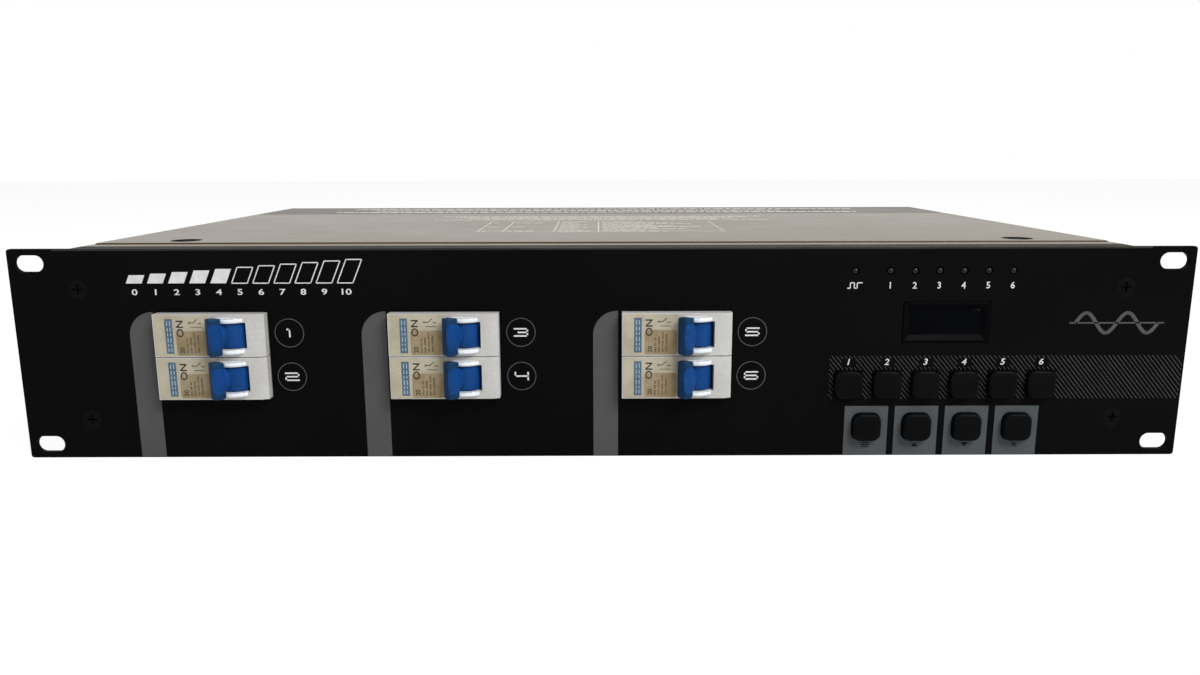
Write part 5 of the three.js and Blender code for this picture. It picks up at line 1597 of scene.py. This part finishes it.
@dataclass
class Case:
    """Covers, tray, rear panel, their screws and the print on the top."""

    half_width: float = 220.0
    height: float = 88.1
    sheet: float = 1.2
    bend: float = 2.0
    skirt: float = 14.0
    cover: Point = (26.5, 216.95)
    strip: Point = (217.45, 285.0)
    dish_x: float = 184.5
    dish_y: float = 37.5
    dish_radius: float = 6.5
    dish_floor: float = 4.0
    dish_depth: float = 1.4
    dish_hole: float = 1.7
    dish_screw: Point = (3.3, 1.35)
    case_screw: Point = (2.8, 1.4)
    skirt_screw_y: tuple[float, ...] = (60.0, 122.0, 190.0, 240.0, 272.0)
    rear_screw_x: tuple[float, ...] = (-212.0, -139.0, 0.0, 212.0)
    rear_screw_z: Point = (5.6, 81.0)
    table: Point = (78.0, 147.0)
    table_columns: tuple[float, ...] = (-61.0, -48.5, -23.5, -1.5, 60.0)
    table_rows: int = 10
    table_rules: Point = (0.25, 0.2)
    table_margin: float = 2.0
    strip_rows: tuple[Point, ...] = ((-172.0, 168.0), (-150.0, 120.0), (-168.0, 172.0))
    strip_row_y: float = 231.0
    strip_row_pitch: float = 17.0
    strip_dash: float = 5.0
    dash_gap: float = 1.1

    def build(self) -> None:
        """Builds the covers, the tray, the rear panel and what is fixed to them."""
        self.folded_cover("top_cover", COVER_COAT, self.cover, True)
        self.folded_cover("terminal_cover", REAR_COAT, self.strip, False)
        for node, finish in (("chassis_tray", COVER_COAT), ("rear_panel", REAR_COAT)):
            shaper = Shaper(finish)
            shaper.cad(node)
            shaper.piece(f"{node}_sheet", "cover_paint", replaces=[node], bevel=0.15, sharp=30)
        self.screws()
        self.table_print()
        self.strip_print()

    def folded_cover(self, node: str, finish: Finish, along: Point, dished: bool) -> None:
        """Builds one cover: a flat top with a bent skirt down each side.

        Args:
            node: The node that it stands for.
            finish: Its paint.
            along: Where it starts and ends towards the rear.
            dished: Whether it has the two screw dishes near its front edge.
        """
        shaper = Shaper(finish)
        flat = self.half_width - self.bend
        near, far = along
        where = Side.TOP.at(0, 0, self.height)
        cuts = [Cut(circle(self.dish_radius, sx * self.dish_x, self.dish_y, 48))
                for sx in ((-1, 1) if dished else ())]
        shaper.plate(rectangle(-flat, near, flat, far), cuts, -self.sheet, 0, where, open_edges=(1, 3))
        turns = [math.radians(90 * step / 6) for step in range(7)]
        inner = self.bend - self.sheet
        for side in (-1, 1):
            path = [(flat + self.bend * math.sin(t), self.height - self.bend + self.bend * math.cos(t),
                     flat + inner * math.sin(t), self.height - self.bend + inner * math.cos(t))
                    for t in turns]
            path.append((self.half_width, self.height - self.skirt, self.half_width - self.sheet,
                         self.height - self.skirt))
            rings = [[(side * x0, near, z0), (side * x0, far, z0), (side * x1, far, z1),
                      (side * x1, near, z1)] for x0, z0, x1, z1 in path]
            shaper.loft(rings, Matrix.Identity(4), False, True)
        shaper.piece(f"{node}_sheet", "cover_paint", replaces=[node], bevel=0.18, sharp=30)
        for side in (-1, 1) if dished else ():
            self.dish(side)

    def dish(self, side: int) -> None:
        """Builds one pressed screw dish of the cover and the screw in it.

        Args:
            side: -1 for the left one, 1 for the right one.
        """
        where = Side.TOP.at(side * self.dish_x, self.dish_y, self.height)
        floor, wall = self.dish_floor, self.sheet
        profile = [(self.dish_radius + 0.02, 0.0), (self.dish_radius - 0.35, -0.12),
                   (floor + 0.3, 0.12 - self.dish_depth), (floor, -self.dish_depth),
                   (self.dish_hole, -self.dish_depth), (self.dish_hole, -self.dish_depth - wall),
                   (floor, -self.dish_depth - wall), (self.dish_radius + 0.3, -wall),
                   (self.dish_radius + 0.02, -wall + 0.05)]
        # The pressed dish takes the panel's black in place of the cover's paint: painted shade in the recess.
        shaper = Shaper(PANEL_BLACK_AND_DISH_SHADE)
        shaper.tube(profile, where, 48)
        word = "left" if side < 0 else "right"
        shaper.piece(f"cover_dish_{word}", "cover_paint", sharp=50)
        screw = Shaper(SCREW_BLACK)
        seat = Side.TOP.at(side * self.dish_x, self.dish_y, self.height - self.dish_depth)
        Screws(recess_reach=1.9).pan(screw, *self.dish_screw, seat)
        screw.piece(f"cover_screw_{word}", "screw_steel", sharp=40)

    def screws(self) -> None:
        """Builds the pan-head screws along the skirts and round the rear panel."""
        shaper = Shaper(SCREW_BLACK)
        level = self.height - self.skirt / 2
        walls = ((Side.LEFT, -self.half_width), (Side.RIGHT, self.half_width))
        places = [side.at(x, along, level) for along in self.skirt_screw_y for side, x in walls]
        places += [Side.REAR.at(x, self.strip[1], z) for x in self.rear_screw_x for z in self.rear_screw_z]
        for place in places:
            Screws(recess_reach=1.5).pan(shaper, *self.case_screw, place)
        shaper.piece("case_screws", "screw_steel", sharp=40)

    def table_print(self) -> None:
        """Builds the ruled table and its rows of dashes on the main cover."""
        shaper = Shaper(COVER_PRINT)
        low, high = self.table
        columns, rows = self.table_columns, self.table_rows
        upright, level = self.table_rules
        lines = [(x - upright, low, x + upright, high) for x in columns]
        pitch = (high - low) / rows
        lines += [(columns[0], low + pitch * row - level, columns[-1], low + pitch * row + level)
                  for row in (0, 1, rows // 2, rows)]
        for row in range(rows):
            y = low + pitch * (row + 0.5)
            for number, (a, b) in enumerate(zip(columns, columns[1:])):
                if number < 2 and row % 4:
                    continue
                share = 0.35 + 0.6 * ((row * 7 + number * 5) % 11) / 11
                length = (b - a - 2 * self.table_margin) * share
                lines += self.dashes(a + self.table_margin, y - 0.9, length, 1.8)
        for row in range(5):
            y = 162.0 + 7.0 * row
            reach = 96.0 - 9.0 * ((row * 3) % 4)
            lines += self.dashes(-reach, y - 1.1, 2 * reach, 2.2)
        shaper.bars(lines, Side.TOP.at(0, 0, self.height))
        shaper.piece("cover_table_print", "cover_paint")

    def strip_print(self) -> None:
        """Builds the dashes in groups on the rear strip."""
        shaper = Shaper(COVER_PRINT)
        lines: list[Quad] = []
        for row, (start, end) in enumerate(self.strip_rows):
            y = self.strip_row_y + self.strip_row_pitch * row
            lines += self.dashes(start, y, end - start, self.strip_dash)
        shaper.bars(lines, Side.TOP.at(0, 0, self.height))
        shaper.piece("strip_print", "cover_paint")

    def dashes(self, x: float, y: float, length: float, tall: float) -> list[Quad]:
        """Gives a row of plain dashes of uneven length.

        Args:
            x: Where the row starts.
            y: Its lower edge.
            length: How long it is.
            tall: How tall the dashes are.

        Returns:
            The dashes as rectangles.
        """
        made, at, step = [], 0.0, 0
        while at < length - 1.0:
            wide = min(length - at, 2.2 + 1.3 * ((step * 7 + int(abs(y))) % 5))
            made.append((x + at, y, x + at + wide, y + tall))
            at += wide + self.dash_gap
            step += 1
        return made


@dataclass
class RearSockets:
    """Six mains outlets, two data sockets and the mains gland, with their digits."""

    face_y: float = 285.0
    proud: float = 0.3
    middle: float = 44.05
    digit_z: float = 76.0
    outlet_flange: Point = (49.0, 47.4)
    outlet_radius: float = 22.2
    outlet_back: float = -30.0
    outlet_floor: float = -14.5
    outlet_web: float = 2.0
    pin_x: float = 9.5
    pin_circle: float = 4.6
    outlet_x: float = -76.0
    outlet_pitch: float = 51.0
    data_x: float = -118.0
    data_lift: float = 17.0
    gland_x: float = -180.0
    gland_ribs: int = 20
    gland_rib_at: float = 17.1

    def build(self) -> None:
        """Builds the sockets, the gland and the print round them."""
        for number in CHANNELS:
            self.outlet(number, self.outlet_x + self.outlet_pitch * (number - 1))
        self.data_socket("data_input_socket", self.middle + self.data_lift, True)
        self.data_socket("data_output_socket", self.middle - self.data_lift, False)
        self.gland()
        self.rear_print()

    def outlet(self, number: int, x: float) -> None:
        """Builds one outlet: flange, recess with sleeved pin holes, guide ribs and spring contacts.

        Args:
            number: The outlet's number.
            x: Its middle, to the right.
        """
        where = Side.REAR.at(x, self.face_y + self.proud, self.middle)
        shaper = Shaper(DARK_PLASTIC)
        low, high = self.outlet_flange
        radius, back, floor = self.outlet_radius, self.outlet_back, self.outlet_floor
        under = floor - self.outlet_web
        shaper.pillow(rounded(low, low, 4, 8), 0, 1.6, 0.8, where)
        shaper.plate(rounded(high, high, 3.4, 8), [Cut(circle(radius, sides=56))], 1.2, 3.0, where)
        cup = [(radius, 1.4), (21.6, 1.4), (21.6, back), (5.0, back), (5.0, under), (19.4, under)]
        cup += [(19.4, floor), (19.5, floor + 0.4), (19.5, 3.6), (20.1, 4.1), (21.4, 4.1), (radius, 3.0)]
        shaper.tube(cup, where, 56)
        pins = [Cut(circle(2.7, side * self.pin_x, 0, 20)) for side in (-1, 1)]
        shaper.plate(circle(19.45, sides=56), pins, under, floor + 0.02, where)
        for side in (-1, 1):
            key = rectangle(side * 19.6 - 1.6, -2.6, side * 19.6 + 1.6, 2.6)
            shaper.slab(key, floor, 2.6, where)
        shaper.use(BRASS)
        for side in (-1, 1):
            sleeve = [(2.7, floor - 0.3), (2.1, floor - 0.6), (2.1, floor - 9.0), (2.7, floor - 9.0)]
            shaper.tube(sleeve, where @ Matrix.Translation((side * self.pin_x, 0, 0)), 20)
            self.clip(shaper, where, side)
        shaper.piece(f"outlet_{number}_socket", "dark_moulding", replaces=[f"outlet_{number}"], sharp=40)

    def clip(self, shaper: Shaper, where: Matrix, side: int) -> None:
        """Adds one bent spring contact on the recess's wall.

        Args:
            shaper: The piece that it belongs to.
            where: The matrix to the panel's coordinates.
            side: -1 or 1, for the side it stands on.
        """
        floor = self.outlet_floor
        path = [(19.7, floor + 0.2), (19.2, floor + 3.0), (17.9, floor + 7.0), (18.5, floor + 10.5),
                (19.6, floor + 12.0)]
        rings = [[(-2.2, side * r, z), (2.2, side * r, z), (2.2, side * (r + 0.7), z),
                  (-2.2, side * (r + 0.7), z)] for r, z in path]
        shaper.loft(rings, where)

    def data_socket(self, node: str, z: float, pins: bool) -> None:
        """Builds one data socket: nickel flange and cup, with pins or with a core and its latch.

        Args:
            node: The socket's node.
            z: Its middle, upwards.
            pins: Whether it has pins in place of a core.
        """
        where = Side.REAR.at(self.data_x, self.face_y + self.proud, z)
        shaper = Shaper(NICKEL)
        corner = [(sx * 9.6, sz * 12.4) for sx, sz in ((-1, 1), (1, -1))]
        cuts = [Cut(circle(11.0, sides=48))] + [Cut(circle(1.7, a, b, 20)) for a, b in corner]
        shaper.plate(rounded(26, 31, 3, 6), cuts, 0, 2.0, where)
        shell = [(11.0, 2.0), (10.7, 2.6), (9.7, 2.6), (9.4, 2.2), (9.4, -13.6), (8.0, -15.8), (11.6, -20.0),
                 (11.6, -0.05), (11.0, -0.05)]
        shaper.tube(shell, where, 48)
        shaper.use(DARK_PLASTIC)
        shaper.slab(circle(9.38, sides=40), -16.0, -13.7, where)
        turns = [math.radians(turn) for turn in (90, 210, 330)]
        places = [(self.pin_circle * math.cos(turn), self.pin_circle * math.sin(turn)) for turn in turns]
        if pins:
            shaper.slab(rectangle(-1.4, -9.4, 1.4, -8.3), -13.8, 1.4, where)
            shaper.use(NICKEL)
            for a, b in places:
                shaper.pillow(circle(1.2, sides=20), -14.0, -2.8, 0.6, where @ Matrix.Translation((a, b, 0)))
        else:
            core = [Cut(circle(1.6, a, b, 20)) for a, b in places]
            shaper.plate(circle(7.5, sides=40), core, -13.8, 2.1, where)
            shaper.use(NICKEL)
            shaper.pillow(rounded(5.0, 3.4, 0.8, 4), 0.4, 3.2, 0.5, where @ Matrix.Translation((0, 12.9, 0)))
        shaper.use(SCREW_BLACK)
        for a, b in corner:
            Screws(recess_reach=1.1).pan(shaper, 2.3, 1.2, where @ Matrix.Translation((a, b, 2.0)))
        shaper.piece(f"{node}_shell", "nickel_shell", replaces=[node], sharp=38)

    def gland(self) -> None:
        """Builds the cable gland: hexagonal base, ribbed cap, sleeve and the nut inside."""
        where = Side.REAR.at(self.gland_x, self.face_y + self.proud, self.middle)
        shaper = Shaper(DARK_PLASTIC)
        hexagon = circle(20.0, sides=6)
        for z0, z1 in ((0.0, 9.0), (-7.8, -1.8)):
            levels = ((z0, 0.97), (z0 + 0.7, 1.0), (z1 - 0.7, 1.0), (z1, 0.95))
            rings = [lifted(hexagon, z, s) for z, s in levels]
            inner = [lifted(circle(13.0, sides=6), z) for z in (z1, z0)]
            shaper.loft(rings + inner + rings[:1], where, False, False)
        cap = [(9.5, 24.0), (11.5, 24.0), (13.8, 22.8), (16.2, 20.2), (17.3, 17.0), (17.3, 10.6),
               (16.6, 9.0), (9.5, 9.0)]
        shaper.tube(cap, where, 60)
        place = Matrix.Translation((self.gland_rib_at, 0, 0))
        for rib in range(self.gland_ribs):
            turn = Matrix.Rotation(2 * math.pi * rib / self.gland_ribs, 4, "Z")
            shaper.pillow(rounded(1.5, 1.7, 0.5, 3), 9.6, 18.0, 0.6, where @ (turn @ place))
        sleeve = [(15.6, 9.0), (15.6, -8.4), (9.5, -8.4), (9.5, 9.0)]
        shaper.tube(sleeve, where)
        shaper.piece("mains_gland_body", "dark_moulding", replaces=["mains_gland"], sharp=36)

    def rear_print(self) -> None:
        """Builds the outlets' digits, the arrows beside the data sockets and the gland's wave."""
        shaper = Shaper(PRINT_WHITE)
        for number in CHANNELS:
            x = self.outlet_x + self.outlet_pitch * (number - 1)
            shaper.digits(str(number), 5.0, Side.REAR.at(x, self.face_y, self.digit_z), 1.2)
        for lift, turn in ((self.data_lift, 1), (-self.data_lift, -1)):
            where = Side.REAR.at(self.data_x - 18.0, self.face_y, self.middle + lift)
            shaper.stroke([(-2.6 * turn, 0), (2.6 * turn, 0)], 0.5, where)
            shaper.stroke([(1.0 * turn, 1.6), (2.8 * turn, 0), (1.0 * turn, -1.6)], 0.5, where)
        steps = 24
        wave = [(-5 + 10 * step / steps, 1.8 * math.sin(2 * math.pi * step / steps))
                for step in range(steps + 1)]
        shaper.stroke(wave, 0.6, Side.REAR.at(self.gland_x, self.face_y, self.digit_z))
        shaper.piece("rear_print", "cover_paint")


class Inside:
    """Finishes for the parts that show only through the slots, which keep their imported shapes."""

    finishes: Mapping[str, Finish] = {
        "rail_frame": ZINC,
        "control_board": BOARD_GREEN,
        "power_board": BOARD_GREEN,
        "heat_sink": ALUMINIUM,
        "fan_frame": DARK_PLASTIC,
        "fan_rotor": DARK_PLASTIC,
    }

    def dress(self, effects: EffectLibrary) -> None:
        """Gives each inner node its material.

        Args:
            effects: The shared groups.
        """
        named = dict(self.finishes) | {f"choke_{number}": COPPER for number in CHANNELS}
        for node, finish in named.items():
            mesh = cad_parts[node].data
            mesh.materials.clear()
            mesh.materials.append(finish.material(effects))
            LOG.info("%s keeps its shape with %s", node, finish.name)


@dataclass
class Studio:
    """Camera, lamps, floor and surroundings; the camera's place is in millimetres from the panel's face."""

    eye: tuple[float, float, float] = (-1.62, -372.93, 125.21)
    down: float = 0.1963
    yaw: float = -0.0015
    roll: float = -0.0025
    lens: float = 27.672
    surround: float = 0.27
    aim: tuple[float, float, float] = (0.0, 0.0, 0.04)
    # Each lamp's name, place, side and power
    lamps: tuple[tuple[str, tuple[float, float, float], float, float], ...] = (
        ("key", (1.1, -1.3, 1.6), 0.9, 46.0),
        ("fill", (-1.6, -1.1, 1.1), 1.5, 4.0),
        ("top", (0.1, 0.5, 2.0), 1.6, 17.0),
    )

    def build(self) -> None:
        """Builds the whole set."""
        self.camera()
        for name, place, size, power in self.lamps:
            self.lamp(name, place, size, power)
        self.floor()
        self.world()
        bpy.context.scene.view_settings.view_transform = "Standard"

    def camera(self) -> None:
        """Builds the camera at the photograph's viewpoint."""
        data = bpy.data.cameras.new("camera")
        data.sensor_fit = "HORIZONTAL"
        data.sensor_width = 36.0
        data.lens = self.lens
        data.clip_start = 0.01
        made = bpy.data.objects.new("camera", data)
        made.matrix_world = (
            Matrix.Translation(Vector(self.eye) * MM + Vector((0, FRONT_FACE, 0)))
            @ Matrix.Rotation(self.yaw, 4, "Z")
            @ Matrix.Rotation(math.pi / 2 - self.down, 4, "X")
            @ Matrix.Rotation(self.roll, 4, "Z")
        )
        bpy.context.scene.collection.objects.link(made)
        bpy.context.scene.camera = made

    def lamp(self, name: str, place: tuple[float, float, float], size: float, power: float) -> None:
        """Adds a square soft lamp that points at the unit.

        Args:
            name: The lamp's name.
            place: Where it hangs.
            size: Its side in metres.
            power: Its power in watts.
        """
        data = bpy.data.lights.new(name, "AREA")
        data.size = size
        data.energy = power
        made = bpy.data.objects.new(name, data)
        aim = Vector(self.aim) - Vector(place)
        made.matrix_world = Matrix.Translation(place) @ aim.to_track_quat("-Z", "Y").to_matrix().to_4x4()
        bpy.context.scene.collection.objects.link(made)

    def floor(self) -> None:
        """Builds a plain pale floor that keeps the unit's shadow."""
        mesh = bpy.data.meshes.new("floor")
        reach = 4.0
        mesh.from_pydata([(-reach, -reach, 0), (reach, -reach, 0), (reach, reach, 0), (-reach, reach, 0)],
                         [], [(0, 1, 2, 3)])
        material = bpy.data.materials.new("pale_floor")
        material.use_nodes = True
        material.node_tree.nodes.clear()
        graph = Graph(material.node_tree)
        cloud = graph.ramp(graph.noise(graph.place(), 3.0), 0.3, 0.7)
        base = graph.mix(cloud, (0.8, 0.8, 0.8), (0.82, 0.82, 0.82))
        matte = graph.add("ShaderNodeBsdfDiffuse", {"Color": base}).outputs[0]
        white = graph.add("ShaderNodeEmission", {"Color": (1.0, 1.0, 1.0), "Strength": 1.08}).outputs[0]
        seen = self.seen(graph)
        share = graph.math("MULTIPLY", seen, 0.85)
        both = graph.add("ShaderNodeMixShader", {0: share, 1: matte, 2: white}).outputs[0]
        graph.add("ShaderNodeOutputMaterial", {"Surface": both})
        mesh.materials.append(material)
        made = bpy.data.objects.new("floor", mesh)
        bpy.context.scene.collection.objects.link(made)

    def seen(self, graph: Graph) -> Socket:
        """Gives 1 for rays that show the surroundings: from the camera, a gloss or through glass.

        Args:
            graph: The nodes that it is added to.

        Returns:
            The socket of the share.
        """
        rays = graph.add("ShaderNodeLightPath").outputs
        either = graph.math("MAXIMUM", rays["Is Camera Ray"], rays["Is Glossy Ray"])
        return graph.math("MAXIMUM", either, rays["Is Transmission Ray"])

    def world(self) -> None:
        """Builds white surroundings that light the unit softly."""
        world = bpy.data.worlds.new("surroundings")
        world.use_nodes = True
        world.node_tree.nodes.clear()
        graph = Graph(world.node_tree)
        white = (1.0, 1.0, 1.0)
        soft = graph.add("ShaderNodeBackground", {"Color": white, "Strength": self.surround}).outputs[0]
        full = graph.add("ShaderNodeBackground", {"Color": white, "Strength": 1.0}).outputs[0]
        both = graph.add("ShaderNodeMixShader", {0: self.seen(graph), 1: soft, 2: full}).outputs[0]
        graph.add("ShaderNodeOutputWorld", {"Surface": both})
        bpy.context.scene.world = world


def main() -> None:
    """Builds every sub-assembly in order."""
    logging.basicConfig(level=logging.INFO, format="%(name)s: %(message)s")
    Studio().build()
    Shaper.effects = EffectLibrary()
    panel = FrontPanel()
    panel.build()
    Breakers(panel).build()
    Controls(panel).build()
    Case().build()
    RearSockets().build()
    Inside().dress(Shaper.effects)


if __name__ == "__main__":
    main()
